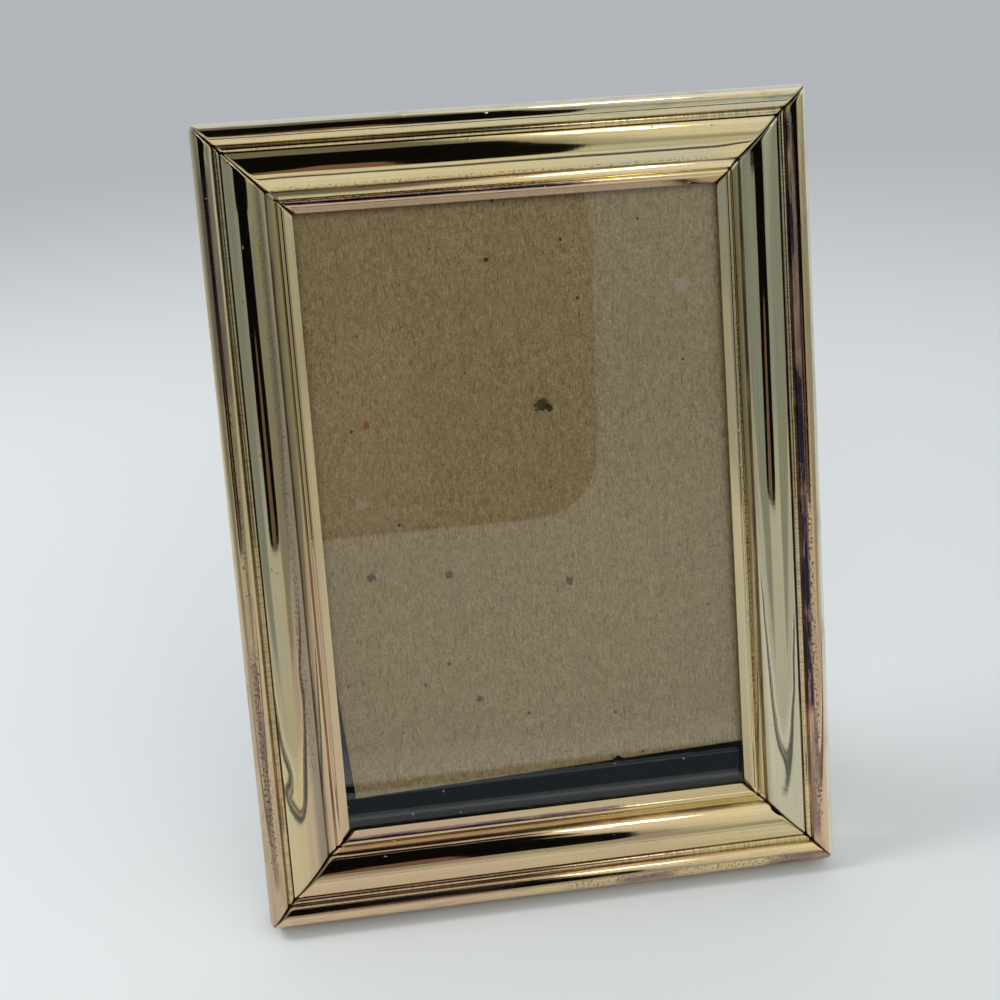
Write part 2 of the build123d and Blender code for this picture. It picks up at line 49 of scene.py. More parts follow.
print("Loaded", len(nodes), "pieces of the frame")


# Where things are: the leaning frame and the leg that props it

frameLean = math.radians(17)
legSlope = math.radians(13)
across = Vector((1, 0, 0))
upFrame = Vector((0, math.sin(frameLean), math.cos(frameLean)))
outFrame = Vector((0, -math.cos(frameLean), math.sin(frameLean)))
frameFoot = Vector((0, -28.243079, -0.198941)) * mm
upLeg = Vector((0, -math.sin(legSlope), math.cos(legSlope)))
outLeg = Vector((0, -math.cos(legSlope), -math.sin(legSlope)))
hingeAxis = Vector((0, 10.404916, 118.688285)) * mm
fullWidth, fullHeight = 138.0, 186.0


# A point across the frame, up it and forward from its back, in millimetres
def onFrame(side, up, out):
    return frameFoot + (across * side + upFrame * up + outFrame * out) * mm


# The same for the leg, counted from the hinge's axis
def onLeg(side, up, out):
    return hingeAxis + (across * side + upLeg * up + outLeg * out) * mm


# Camera

cameraSet = {
    "place": (-57.553, -349.633, 276.746),
    "right": (0.98688566, -0.15929972, -0.02608243),
    "down": (-0.0969836, -0.4559757, -0.88469223),
    "forward": (0.12903827, 0.87561965, -0.46544533),
    "lens": 60.71,
    "shift": (0.0012, -0.0002),
}


def placeCamera(s):
    data = bpy.data.cameras.new("viewCamera")
    data.sensor_width = 36
    data.lens = s["lens"]
    data.shift_x, data.shift_y = s["shift"]
    data.clip_start, data.clip_end = 0.01, 20
    camera = bpy.data.objects.new("viewCamera", data)
    bpy.context.scene.collection.objects.link(camera)
    right, up = Vector(s["right"]), -Vector(s["down"])
    back = -Vector(s["forward"])
    turn = Matrix((right, up, back)).transposed().to_4x4()
    camera.matrix_world = Matrix.Translation(Vector(s["place"]) * mm) @ turn
    bpy.context.scene.camera = camera


placeCamera(cameraSet)
print("Camera placed")


# Small helpers for meshes and materials. From here on, s is the settings of what is being made.

def addPiece(name, points, faces, material, smooth=True):
    mesh = bpy.data.meshes.new(name)
    mesh.from_pydata([tuple(point) for point in points], [], faces)
    mesh.materials.append(material)
    if smooth:
        mesh.shade_smooth()
    mesh.update()
    piece = bpy.data.objects.new(name, mesh)
    bpy.context.scene.collection.objects.link(piece)
    return piece


# Makes a surface as thick as cloth: against its normals at -1, along them at 1, both ways at 0
def thicken(piece, thickness, side):
    cloth = piece.modifiers.new("cloth", "SOLIDIFY")
    cloth.thickness, cloth.offset = thickness * mm, side
    graph = bpy.context.evaluated_depsgraph_get()
    made = bpy.data.meshes.new_from_object(piece.evaluated_get(graph))
    piece.modifiers.clear()
    piece.data = made


# Gives a mesh its map, from a place in millimetres along and across for each vertex
def layMap(mesh, places):
    layer = mesh.uv_layers.new(name="lay")
    for loop in mesh.loops:
        layer.data[loop.index].uv = places[loop.vertex_index]


# A point of the round bend from start to end, drawn towards a corner
def bentPoint(start, corner, end, t):
    return start * (1 - t) ** 2 + corner * 2 * t * (1 - t) + end * t * t


def clamp(value):
    return max(0.0, min(1.0, value))


# A material being put together from nodes
class Finish:
    def __init__(self, name):
        self.material = bpy.data.materials.new(name)
        self.material.use_nodes = True
        self.tree = self.material.node_tree
        self.shader = self.tree.nodes["Principled BSDF"]
        self.output = self.tree.nodes["Material Output"]

    def set(self, **values):
        for name, value in values.items():
            self.join(value, self.shader.inputs[name.replace("_", " ")])

    def node(self, kind, inputs=None, **options):
        made = self.tree.nodes.new("ShaderNode" + kind)
        for name, value in options.items():
            setattr(made, name, value)
        for name, value in (inputs or {}).items():
            self.join(value, made.inputs[name])
        return made

    def join(self, value, socket):
        if isinstance(value, bpy.types.NodeSocket):
            self.tree.links.new(value, socket)
        else:
            socket.default_value = value

    def math(self, operation, first, second=0.0, clamp=False):
        made = self.tree.nodes.new("ShaderNodeMath")
        made.operation, made.use_clamp = operation, clamp
        self.join(first, made.inputs[0])
        self.join(second, made.inputs[1])
        return made.outputs[0]

    def times(self, first, second, clamp=False):
        return self.math("MULTIPLY", first, second, clamp)

    def mixColour(self, share, first, second):
        made = self.tree.nodes.new("ShaderNodeMix")
        made.data_type = "RGBA"
        self.join(share, made.inputs[0])
        self.join(first, made.inputs[6])
        self.join(second, made.inputs[7])
        return made.outputs[2]

    def ramp(self, value, stops):
        made = self.node("ValToRGB", {"Fac": value})
        while len(made.color_ramp.elements) < len(stops):
            made.color_ramp.elements.new(0.5)
        for element, (place, tone) in zip(made.color_ramp.elements, stops):
            element.position = place
            element.color = rgb(*tone)
        return made.outputs["Color"]

    # 0 at low and 1 at high, or the other way round where low is the larger
    def level(self, value, low, high):
        made = self.node("MapRange", {0: value, 1: low, 2: high, 3: 0.0, 4: 1.0})
        made.clamp = True
        return made.outputs[0]

    def noise(self, vector, scale, detail=3.0, roughness=0.5, distortion=0.0):
        made = self.node("TexNoise", {"Vector": vector, "Scale": scale, "Detail": detail,
                                      "Roughness": roughness, "Distortion": distortion})
        return made.outputs["Fac"]

    def stretched(self, vector, scale, turn=(0, 0, 0)):
        made = self.node("Mapping", {"Vector": vector, "Scale": scale, "Rotation": turn})
        return made.outputs["Vector"]

    def bump(self, height, distance, strength=1.0, after=None):
        made = self.node("Bump", {"Height": height, "Distance": distance, "Strength": strength})
        if after is not None:
            self.join(after, made.inputs["Normal"])
        return made.outputs["Normal"]

    def place(self):
        return self.node("TexCoord").outputs["Object"]

    # Specks in the middle of a few cells: how far they reach, and which cells have one
    def specks(self, vector, scale, reach, chosen):
        cells = self.node("TexVoronoi", {"Vector": vector, "Scale": scale})
        drawn = self.node("SeparateColor", {"Color": cells.outputs["Color"]})
        return self.times(self.level(cells.outputs["Distance"], *reach),
                         self.level(drawn.outputs[0], *chosen))


def rgb(red, green, blue):
    return (red, green, blue, 1)


# Finishes

# What the moulding's mesh tells its finish at every point
railMarks = ("crease", "outerBead", "reed", "rubAndHighlight", "film", "hue", "ends", "bloom", "dots")

plateSet = {
    "gold": (0.86, 0.69, 0.36),
    "rose": (0.80, 0.57, 0.36),
    "silver": (0.72, 0.65, 0.455),
    "tarnish": (0.16, 0.09, 0.06),
    "plum": (0.22, 0.11, 0.15),
    "ink": (0.035, 0.03, 0.055),
    "rubAndHighlightTone": (0.90, 0.86, 0.74),      # rubbed pale along the outer edge, with a painted highlight there
    # a dull film, and painted shade where a rail mirrors shadow, as along the bottom rail's outer edge
    "film": (0.34, 0.28, 0.20),
    "drawn": (0.56, 0.42, 0.27),     # lines left by the rolls
    "thin": (0.30, 0.22, 0.15),      # finer and darker ones
    "combed": (0.20, 0.17, 0.13),    # marks across the reeds
    "dust": (0.45, 0.44, 0.40),
    "roughness": 0.035,
}


# Thin plate over rolled brass, polished, with tarnish left in the valleys
def wornMouldingPlate(s):
    f = Finish("worn_moulding_plate")
    place = f.place()
    lay = f.node("UVMap").outputs["UV"]  # millimetres along and across the moulding
    crease, outer, reed, rubAndHighlight, filmAndShade, hue, ends, bloomed, dotted = (
        f.node("Attribute", attribute_name=mark).outputs["Fac"] for mark in railMarks)

    # The plate runs from silvery through gold to rose
    patches = f.noise(f.stretched(lay, (0.025, 0.12, 1)), 1.0, 4.0, 0.6, 0.4)
    tone = f.ramp(f.math("ADD", patches, f.math("SUBTRACT", hue, 0.5)),
                  [(0.15, s["silver"]), (0.50, s["gold"]), (0.85, s["rose"])])
    drawn = f.noise(f.stretched(lay, (0.02, 3.2, 1)), 1.0, 5.0, 0.6)
    tone = f.mixColour(f.times(f.level(drawn, 0.48, 0.8), 0.6), tone, rgb(*s["drawn"]))
    thin = f.noise(f.stretched(lay, (0.012, 5.5, 1)), 1.0, 3.0, 0.6)
    tone = f.mixColour(f.times(f.level(thin, 0.58, 0.72), 0.5), tone, rgb(*s["thin"]))
    # Pale outer edge: rubbed plate and a painted highlight
    tone = f.mixColour(f.times(rubAndHighlight, 0.75), tone, rgb(*s["rubAndHighlightTone"]))
    # A dull film, partly painted shade
    tone = f.mixColour(filmAndShade, tone, rgb(*s["film"]))

    # Tarnish: lines in the valleys, dots beside them, and blooms where the plate has worn through
    uneven = f.noise(f.stretched(lay, (0.05, 0.9, 1)), 1.0, 4.0, 0.65)
    valley = f.times(crease, f.level(uneven, 0.38, 0.60), clamp=True)
    speckled = f.noise(f.stretched(lay, (1.4, 1.9, 1)), 1.0, 3.0, 0.55)
    near = f.times(f.level(speckled, 0.66, 0.72), f.level(crease, 0.02, 0.3))
    dots = f.times(f.level(speckled, 0.52, 0.60), dotted)
    cloudy = f.noise(f.stretched(lay, (0.06, 0.45, 1)), 1.0, 5.0, 0.7, 0.3)
    stain = f.times(bloomed, f.level(cloudy, 0.25, 0.55))
    worn = f.times(f.level(cloudy, 0.52, 0.68), f.times(outer, 0.4))
    bloom = f.math("MAXIMUM", f.times(f.level(stain, 0.05, 0.5), 0.75), worn)
    tone = f.mixColour(bloom, tone, rgb(*s["plum"]))
    tone = f.mixColour(f.level(stain, 0.60, 0.85), tone, rgb(*s["ink"]))
    dark = f.math("MAXIMUM", f.times(valley, 0.7), dots)
    dark = f.math("MAXIMUM", dark, f.math("MAXIMUM", near, ends))
    tone = f.mixColour(dark, tone, rgb(*s["tarnish"]))

    # Fine marks across the reeds, left by the rolls
    comb = f.noise(f.stretched(lay, (2.1, 0.16, 1)), 1.0, 2.0, 0.6)
    share = f.times(f.level(comb, 0.46, 0.66), f.times(reed, 0.55))
    tone = f.mixColour(share, tone, rgb(*s["combed"]))

    # A little dust, too fine to model
    speck = f.specks(place, 480.0, (0.10, 0.05), (0.955, 0.965))
    tone = f.mixColour(speck, tone, rgb(*s["dust"]))

    smear = f.noise(place, 90.0, 3.0, 0.6)
    rough = f.math("ADD", s["roughness"], f.times(smear, 0.035))
    rough = f.math("ADD", rough, f.times(f.math("MAXIMUM", dark, bloom), 0.22))

    # Drawn lines along the rail, faint chatter across it, and a few nicks
    chatter = f.noise(f.stretched(lay, (0.5, 0.12, 1)), 1.0, 2.0, 0.5)
    normal = f.bump(drawn, 0.000003, 0.6)
    normal = f.bump(chatter, 0.000012, 0.2, normal)
    nicks = f.node("TexVoronoi", {"Vector": f.stretched(lay, (0.11, 0.32, 1)), "Scale": 1.0})
    pit = f.level(nicks.outputs["Distance"], 0.02, 0.06)
    f.set(Base_Color=tone, Metallic=f.math("SUBTRACT", 1.0, speck), Roughness=rough,
          Normal=f.bump(pit, 0.00008, 0.6, normal))
    return f.material


brassSet = {"tone": (0.74, 0.53, 0.25), "dull": (0.40, 0.27, 0.13), "roughness": 0.17}


def pressedBrass(s):
    f = Finish("pressed_brass")
    f.set(Metallic=1.0)
    place = f.place()
    age = f.noise(place, 160.0, 5.0, 0.6)
    tone = f.mixColour(f.level(age, 0.42, 0.72), rgb(*s["tone"]), rgb(*s["dull"]))
    scratch = f.noise(f.stretched(place, (4000, 300, 300), (0.2, 0.1, 0.7)), 1.0, 3.0, 0.6)
    rough = f.math("ADD", s["roughness"], f.times(age, 0.2))
    normal = f.bump(scratch, 0.00003, 0.5)
    f.set(Base_Color=tone, Roughness=rough, Normal=f.bump(age, 0.0001, 0.3, normal))
    return f.material


steelSet = {"tone": (0.52, 0.52, 0.51), "rust": (0.22, 0.11, 0.05), "roughness": 0.38}


def keySteel(s):
    f = Finish("key_steel")
    f.set(Metallic=1.0)
    place = f.place()
    spots = f.noise(place, 420.0, 4.0, 0.6)
    tone = f.mixColour(f.level(spots, 0.60, 0.74), rgb(*s["tone"]), rgb(*s["rust"]))
    rough = f.math("ADD", s["roughness"], f.times(spots, 0.25))
    f.set(Base_Color=tone, Roughness=rough, Normal=f.bump(f.noise(place, 1500.0, 3.0), 0.00005, 0.4))
    return f.material


glassSet = {"ior": 1.52, "tint": (0.985, 0.995, 0.985), "dust": 0.005}


# Clear sheet glass with a faint film of dust
def paneGlass(s):
    f = Finish("pane_glass")
    f.tree.nodes.remove(f.shader)
    place = f.place()
    film = f.noise(place, 38.0, 5.0, 0.7)
    clear = f.node("BsdfTransparent", {"Color": rgb(*s["tint"])})
    gloss = f.node("BsdfGlossy", {"Color": rgb(1.0, 1.0, 1.0), "Roughness": 0.01})
    dust = f.node("BsdfDiffuse", {"Color": rgb(0.72, 0.72, 0.70)})
    shine = f.node("Fresnel", {"IOR": s["ior"]})
    pane = f.node("MixShader", {"Fac": shine.outputs["Fac"], 1: clear.outputs[0], 2: gloss.outputs[0]})
    haze = f.times(f.level(film, 0.35, 0.85), s["dust"])
    whole = f.node("MixShader", {"Fac": haze, 1: pane.outputs[0], 2: dust.outputs[0]})
    f.join(whole.outputs[0], f.output.inputs["Surface"])
    return f.material


cardSet = {
    "brown": (0.49, 0.345, 0.172),
    "pale": (0.75, 0.565, 0.33),
    "deep": (0.235, 0.157, 0.073),
    "darkFleck": (0.05, 0.038, 0.024),
    "paleFleck": (0.52, 0.46, 0.34),
    # Fibres: which way they lie, how fine, in which tone
    "fibres": [(1.25, 3000, "pale"), (1.9, 2600, "deep"), (1.65, 3400, "pale"), (0.7, 2300, "deep")],
    "front": 3.95,        # where the card's face is, from the back of the frame
    # Spots on it: side, up, size in millimetres, colour
    "spots": [
        (5.0, 117.6, 3.0, (0.075, 0.052, 0.030)),
        (6.6, 116.8, 1.8, (0.040, 0.028, 0.018)),
        (-36.0, 116.6, 1.3, (0.42, 0.10, 0.07)),
        (39.7, 142.7, 3.2, (0.56, 0.46, 0.34)),
        (-38.5, 98.2, 2.6, (0.56, 0.46, 0.34)),
        (-31.9, 95.9, 2.0, (0.50, 0.38, 0.28)),
        (36.2, 61.1, 1.9, (0.50, 0.42, 0.30)),
        (-5.5, 152.0, 1.0, (0.03, 0.025, 0.02)),
        (-37.9, 80.6, 1.8, (0.11, 0.080, 0.048)),
        (-19.7, 79.4, 1.7, (0.12, 0.085, 0.05)),
        (8.9, 75.2, 1.7, (0.12, 0.085, 0.05)),
        (-14.6, 48.4, 1.6, (0.10, 0.070, 0.042)),
    ],
}


# Unbleached board: fine fibres, pale and dark flecks, and a few spots
def greyBoard(name, s):
    f = Finish(name)
    place = f.place()
    cloud = f.noise(place, 42.0, 4.0, 0.6)
    grain = f.noise(place, 2400.0, 2.0, 0.7)
    clumps = f.noise(place, 620.0, 2.0, 0.6)
    mottled = f.math("ADD", f.times(grain, 0.72), f.times(clumps, 0.28))
    tone = f.mixColour(f.level(mottled, 0.33, 0.67), rgb(*s["deep"]), rgb(*s["pale"]))
    tone = f.mixColour(f.math("ADD", 0.15, f.times(f.level(cloud, 0.35, 0.65), 0.35)), tone,
                       rgb(*s["brown"]))

    # Fibres lying all ways
    for turn, stretch, shade in s["fibres"]:
        fibres = f.noise(f.stretched(place, (stretch, 420, 420), (0, turn, 0)), 1.0, 1.0, 0.5)
        share = f.times(f.level(fibres, 0.64, 0.70), 0.6)
        tone = f.mixColour(share, tone, rgb(*s[shade]))
    flecks = f.node("TexVoronoi", {"Vector": place, "Scale": 330.0})
    fleck = f.level(flecks.outputs["Distance"], 0.16, 0.08)
    chosen = f.node("SeparateColor", {"Color": flecks.outputs["Color"]})
    for channel, shade in enumerate(("darkFleck", "paleFleck")):
        share = f.times(fleck, f.level(chosen.outputs[channel], 0.93, 0.94))
        tone = f.mixColour(share, tone, rgb(*s[shade]))

    ragged = f.noise(place, 1400.0, 3.0, 0.7)
    for side, up, size, spotColour in s["spots"]:
        centre = onFrame(side, up, s["front"])
        apart = f.node("VectorMath", {0: place, 1: tuple(centre)}, operation="DISTANCE").outputs["Value"]
        reach = f.math("ADD", apart, f.times(f.math("SUBTRACT", ragged, 0.5), size * 1.5 * mm))
        share = f.level(reach, size * 0.62 * mm, size * 0.45 * mm)
        tone = f.mixColour(f.times(share, 0.9), tone, rgb(*spotColour))
    normal = f.bump(grain, 0.00006, 0.6)
    f.set(Base_Color=tone, Roughness=0.92, Specular_IOR_Level=0.25,
          Normal=f.bump(cloud, 0.0002, 0.3, normal))
    return f.material


liningSet = {"deep": (0.002, 0.003, 0.005), "lit": (0.005, 0.008, 0.012), "dust": (0.34, 0.33, 0.30),
             "roughness": 0.50}


# Smooth near-black paper with a little dust on it
def liningPaper(s):
    f = Finish("lining_paper")
    place = f.place()
    cloud = f.noise(place, 120.0, 4.0, 0.6)
    tone = f.mixColour(cloud, rgb(*s["deep"]), rgb(*s["lit"]))
    speck = f.specks(place, 520.0, (0.17, 0.09), (0.90, 0.92))
    tone = f.mixColour(speck, tone, rgb(*s["dust"]))
    rough = f.math("ADD", s["roughness"], f.times(cloud, 0.25))
    f.set(Base_Color=tone, Roughness=rough, Specular_IOR_Level=0.15,
          Normal=f.bump(f.noise(place, 1800.0, 3.0), 0.00003, 0.4))
    return f.material


velvetSet = {"deep": (0.006, 0.007, 0.011), "lit": (0.020, 0.024, 0.036), "tips": (0.036, 0.042, 0.060),
             "lint": (0.20, 0.20, 0.20), "sheen": 0.55, "sheenTint": (0.42, 0.46, 0.56)}


# Short cotton velvet, brushed unevenly
def napVelvet(s):
    f = Finish("nap_velvet")
    place = f.place()
    brushed = f.noise(place, 34.0, 4.0, 0.6, 0.6)
    pile = f.noise(place, 2600.0, 2.0, 0.7)
    tufts = f.noise(place, 780.0, 3.0, 0.65)
    mixed = f.math("ADD", f.times(brushed, 0.6), f.times(tufts, 0.4))
    tone = f.mixColour(f.level(mixed, 0.40, 0.62), rgb(*s["deep"]), rgb(*s["lit"]))
    tone = f.mixColour(f.times(f.level(pile, 0.55, 0.8), 0.4), tone, rgb(*s["tips"]))
    lint = f.noise(f.stretched(place, (2300, 260, 700), (0.3, 0.8, 0.2)), 1.0, 1.0)
    tone = f.mixColour(f.times(f.level(lint, 0.78, 0.84), 0.35), tone, rgb(*s["lint"]))
    normal = f.bump(pile, 0.00022, 0.7)
    normal = f.bump(tufts, 0.0005, 0.6, normal)
    f.set(Base_Color=tone, Roughness=0.95, Specular_IOR_Level=0.1, Sheen_Weight=s["sheen"],
          Sheen_Roughness=0.35, Sheen_Tint=rgb(*s["sheenTint"]),
          Normal=f.bump(brushed, 0.0006, 0.35, normal))
    return f.material


satinSet = {"shade": (0.010, 0.012, 0.018), "lit": (0.040, 0.046, 0.062), "roughness": 0.42}


# Woven satin, its threads lying along the ribbon
def ribbonSatin(s):
    f = Finish("ribbon_satin")
    lay = f.node("UVMap").outputs["UV"]  # millimetres along and across the ribbon
    threads = f.noise(f.stretched(lay, (0.8, 14.0, 1)), 1.0, 2.0, 0.6)
    weave = f.node("TexWave", {"Vector": lay, "Scale": 2.2, "Distortion": 0.6}, bands_direction="X")
    tone = f.mixColour(threads, rgb(*s["shade"]), rgb(*s["lit"]))
    normal = f.bump(threads, 0.00005, 0.6)
    f.set(Base_Color=tone, Roughness=s["roughness"], Sheen_Weight=0.25, Sheen_Roughness=0.4,
          Anisotropic=0.5, Normal=f.bump(weave.outputs["Fac"], 0.00004, 0.4, normal))
    return f.material


mouldingPlate = wornMouldingPlate(plateSet)
brass = pressedBrass(brassSet)
steel = keySteel(steelSet)
glass = paneGlass(glassSet)
cardBoard = greyBoard("card_board", cardSet)
coreBoard = greyBoard("core_board", {**cardSet, "spots": []})
lining = liningPaper(liningSet)
velvet = napVelvet(velvetSet)
satin = ribbonSatin(satinSet)

finishes = {"glass_pane": glass, "back_board": coreBoard, "leg_board": coreBoard, "back_lining": lining}
for name in nodes:
    if name.startswith(("turn_button_", "hinge_")) or name.endswith("_rivet"):
        finishes[name] = brass
    elif name.startswith("corner_key_"):
        finishes[name] = steel
for name, finish in finishes.items():
    nodes[name].material_slots[0].material = finish
print("Finishes made")


# The moulding: four rails of rolled sheet

mouldingSet = {
    "depth": 12.0,
    "width": 20.5,
    "rebate": 16.4,
    "lipRear": 6.15,
    "lipRound": 0.4,
    "outerRound": 1.5,
    "sheet": 0.5,
    "bend": 0.8,
    "outerFlange": 6.0,
    "innerFlange": 5.9,
    "joint": 0.11,        # half of the gap in a mitre, along the rail
    "creases": (4.3, 5.5, 14.8, 16.8),
    "creaseWidths": (0.26, 0.24, 0.42, 0.20),
    # How far in the beads are drawn on a worn rail, as (place across, share of its own shift)
    "widen": ((1.5, 0.85), (4.3, 0.90), (5.5, 1.15), (6.2, 1.1), (14.5, 1.0), (16.8, 0.9), (18.76, 0.3)),
    # Heights above the back from which the sheet is the shown face, is drawn in, and is rubbed pale with a
    # painted highlight
    "shownFrom": 6.2,
    "widenedFrom": 6.7,
    "rubAndHighlightFrom": 9,
    "stations": 80,
    "close": (0.0, 0.12, 0.28, 0.5, 0.8, 1.2, 1.8, 2.6, 3.6),  # more stations near a mitre
    "roll": 0.28,         # how far the sheet's ends turn down into the joint
    "ripple": 0.024,      # height of the slow waves in the sheet
    "cornerLift": 0.10,   # how far the sheet's ends are sprung
    "polish": 0.2,        # how far the corners are rubbed away
    "polishWidth": 1.6,
    "openFrom": 15,       # across, from where a mitre gapes
    "outerBeadEnd": 4.4,
    "inside": 0.35,       # how dark the sheet's inner face is
    "patchEdge": (5, 0.35),    # how soft a patch is along and across
}


# Points of the circle's arc through three points, after its first
def arcThrough(first, middle, last, steps):
    (ax, ay), (bx, by), (cx, cy) = first, middle, last
    d = 2 * (ax * (by - cy) + bx * (cy - ay) + cx * (ay - by))
    a2, b2, c2 = ax * ax + ay * ay, bx * bx + by * by, cx * cx + cy * cy
    centreX = (a2 * (by - cy) + b2 * (cy - ay) + c2 * (ay - by)) / d
    centreY = (a2 * (cx - bx) + b2 * (ax - cx) + c2 * (bx - ax)) / d
    start = math.atan2(ay - centreY, ax - centreX)
    toMiddle = (math.atan2(by - centreY, bx - centreX) - start) % math.tau
    toLast = (math.atan2(cy - centreY, cx - centreX) - start) % math.tau
    sweep = toLast if toMiddle < toLast else toLast - math.tau
    radius = math.hypot(ax - centreX, ay - centreY)
    return [(centreX + radius * math.cos(start + sweep * k / steps),
             centreY + radius * math.sin(start + sweep * k / steps)) for k in range(1, steps + 1)]


def lineTo(first, last, steps):
    return [(first[0] + (last[0] - first[0]) * k / steps, first[1] + (last[1] - first[1]) * k / steps)
            for k in range(1, steps + 1)]


# The outer face of the rolled sheet, from one back flange round the front to the other
def sheetSection(s, crestShift, lip):
    bend, width, rebate = s["bend"], s["width"], s["rebate"]
    side, lipRound = s["outerRound"], s["lipRound"]
    shoulder, lipLow = s["depth"] - side, s["lipRear"] + lipRound
    turned, sideTurn, lipTurn = bend - bend * diagonal, side * diagonal, lipRound * diagonal
    path = [(s["outerFlange"], 0)]
    path += lineTo(path[-1], (bend, 0), 4)
    path += arcThrough(path[-1], (turned, turned), (0, bend), 6)
    path += lineTo(path[-1], (0, shoulder), 6)
    path += arcThrough(path[-1], (side - sideTurn, shoulder + sideTurn), (side, s["depth"]), 12)
    # The outer bead, the reed, the broad wave, the hollow, the small inner bead and the lip
    path += arcThrough(path[-1], (2.809, 11.757), (4.0, 10.95), 16)
    path += lineTo(path[-1], (4.3, 10.05), 2)
    path += arcThrough(path[-1], (4.9, 10.3), (5.5, 9.45), 12)
    path += lineTo(path[-1], (5.8, 10.05), 2)
    path += arcThrough(path[-1], (8.904 + crestShift, 10.65), (14.5, 8.55), 44)
    path += lineTo(path[-1], (14.8, 7.95), 2)
    path += arcThrough(path[-1], (15.7, 8.24), (16.5, 8.65), 10)
    path += lineTo(path[-1], (16.8, 8.35), 1)
    path += arcThrough(path[-1], (17.91, 9.0), (18.761, 8.75), 16)
    path += lineTo(path[-1], (width, lip), 6)
    path += lineTo(path[-1], (width, lipLow), 1)
    path += arcThrough(path[-1], (width - lipRound + lipTurn, lipLow - lipTurn),
                       (width - lipRound, s["lipRear"]), 5)
    path += lineTo(path[-1], (rebate, s["lipRear"]), 3)
    path += lineTo(path[-1], (rebate, bend), 3)
    path += arcThrough(path[-1], (rebate - turned, turned), (rebate - bend, 0), 6)
    path += lineTo(path[-1], (rebate - s["innerFlange"], 0), 4)
    return path


# Unit normals that point out of the metal, turned halfway at each point
def pathNormals(path):
    found = []
    for k, point in enumerate(path):
        before, after = path[max(k - 1, 0)], path[min(k + 1, len(path) - 1)]
        total = Vector((0, 0))
        for one, two in ((before, point), (point, after)):
            step = Vector((two[0] - one[0], two[1] - one[1]))
            if step.length > 1e-9:
                total += Vector((-step.y, step.x)).normalized()
        found.append(total.normalized())
    return found


# The sheet's inner face: the path moved in by the thickness, without what would fold over itself
def insideOf(path, normals, thickness):
    moved = [(p[0] - n.x * thickness, p[1] - n.y * thickness) for p, n in zip(path, normals)]
    kept = [m for m in moved if min(math.hypot(m[0] - p[0], m[1] - p[1]) for p in path) > thickness * 0.97]
    return [moved[0]] + kept + [moved[-1]]


# How much of a patch, given by its ends along and across the rail, covers a point
def patchShare(patch, x, a, edge):
    first, last, low, high, strength = patch
    lengthwise = min(x - first, last - x) / edge[0]
    crosswise = min(a - low, high - a) / edge[1]
    return strength * clamp(0.5 + lengthwise) * clamp(0.5 + crosswise)


# The value at a place between knots of (place, value)
def between(knots, place):
    for (low, first), (high, last) in zip(knots, knots[1:]):
        if place <= high:
            return first + (last - first) * max(0.0, (place - low) / (high - low))
    return knots[-1][1]


# Where a rail's stations stand, as a distance from its start or end, or a share of what is between
def railStations(s):
    close, count = s["close"], s["stations"]
    return ([("start", d) for d in close] + [("share", k / count) for k in range(1, count)]
            + [("end", d) for d in reversed(close)])


# How far the shown face stands off its plain shape: waves, sprung ends that turn down, and dents
def faceLift(run, a, over, fromEnd, farHalf, shape, s):
    seed = shape["seed"]
    where = Vector((run * 0.045 + seed, over * 0.10, seed * 1.7))
    lift = s["ripple"] * (noise.noise(where) + 0.5 * noise.noise(where * 2.6))
    sprung = math.exp(-fromEnd / 2.6) * noise.noise(Vector((over * 0.22, seed + farHalf, 0)))
    lift += s["cornerLift"] * sprung - s["roll"] * math.exp(-(fromEnd / 0.3) ** 1.5)
    for dentX, dentA, long, wide, deep in shape["dents"]:
        apart = ((run + a - dentX) / long) ** 2 + ((a - dentA) / wide) ** 2
        lift -= deep * math.exp(-apart) if apart < 9 else 0.0
    return lift


# What the finish is told at a point of a rail
def markValues(outside, shown, high, x, a, fromEnd, length, creases, shape, s):
    inside = s["inside"]
    crease = max(strength * math.exp(-((a - line) / wide) ** 2)
                 for line, wide, strength in zip(creases, s["creaseWidths"], shape["creased"]))
    inReeds = creases[0] < a < creases[1]
    values = {
        "crease": crease if shown else inside,
        "outerBead": clamp((s["outerBeadEnd"] - a) / 0.6) if outside else 0.0,
        "reed": (1.0 if inReeds else 0.08) if outside else inside,
        # the pale outer edge: rubbed plate and a painted highlight, set per rail
        "rubAndHighlight": shape["rubAndHighlight"] * clamp((s["outerRound"] - a) / 0.7) if high else 0.0,
        # the film, partly painted shade
        "film": between(shape["film"], a) if shown else 0.0,
        "hue": between(shape["hue"], a) + shape["hueTurn"] * (x / length - 0.5),
        "ends": 0.9 * math.exp(-(fromEnd / 0.22) ** 2) if outside else 0.5,
    }
    for mark in ("bloom", "dots"):
        found = [patchShare(patch, x, a, s["patchEdge"]) for patch in shape[mark]] if shown else []
        values[mark] = max(found, default=0.0)
    return values


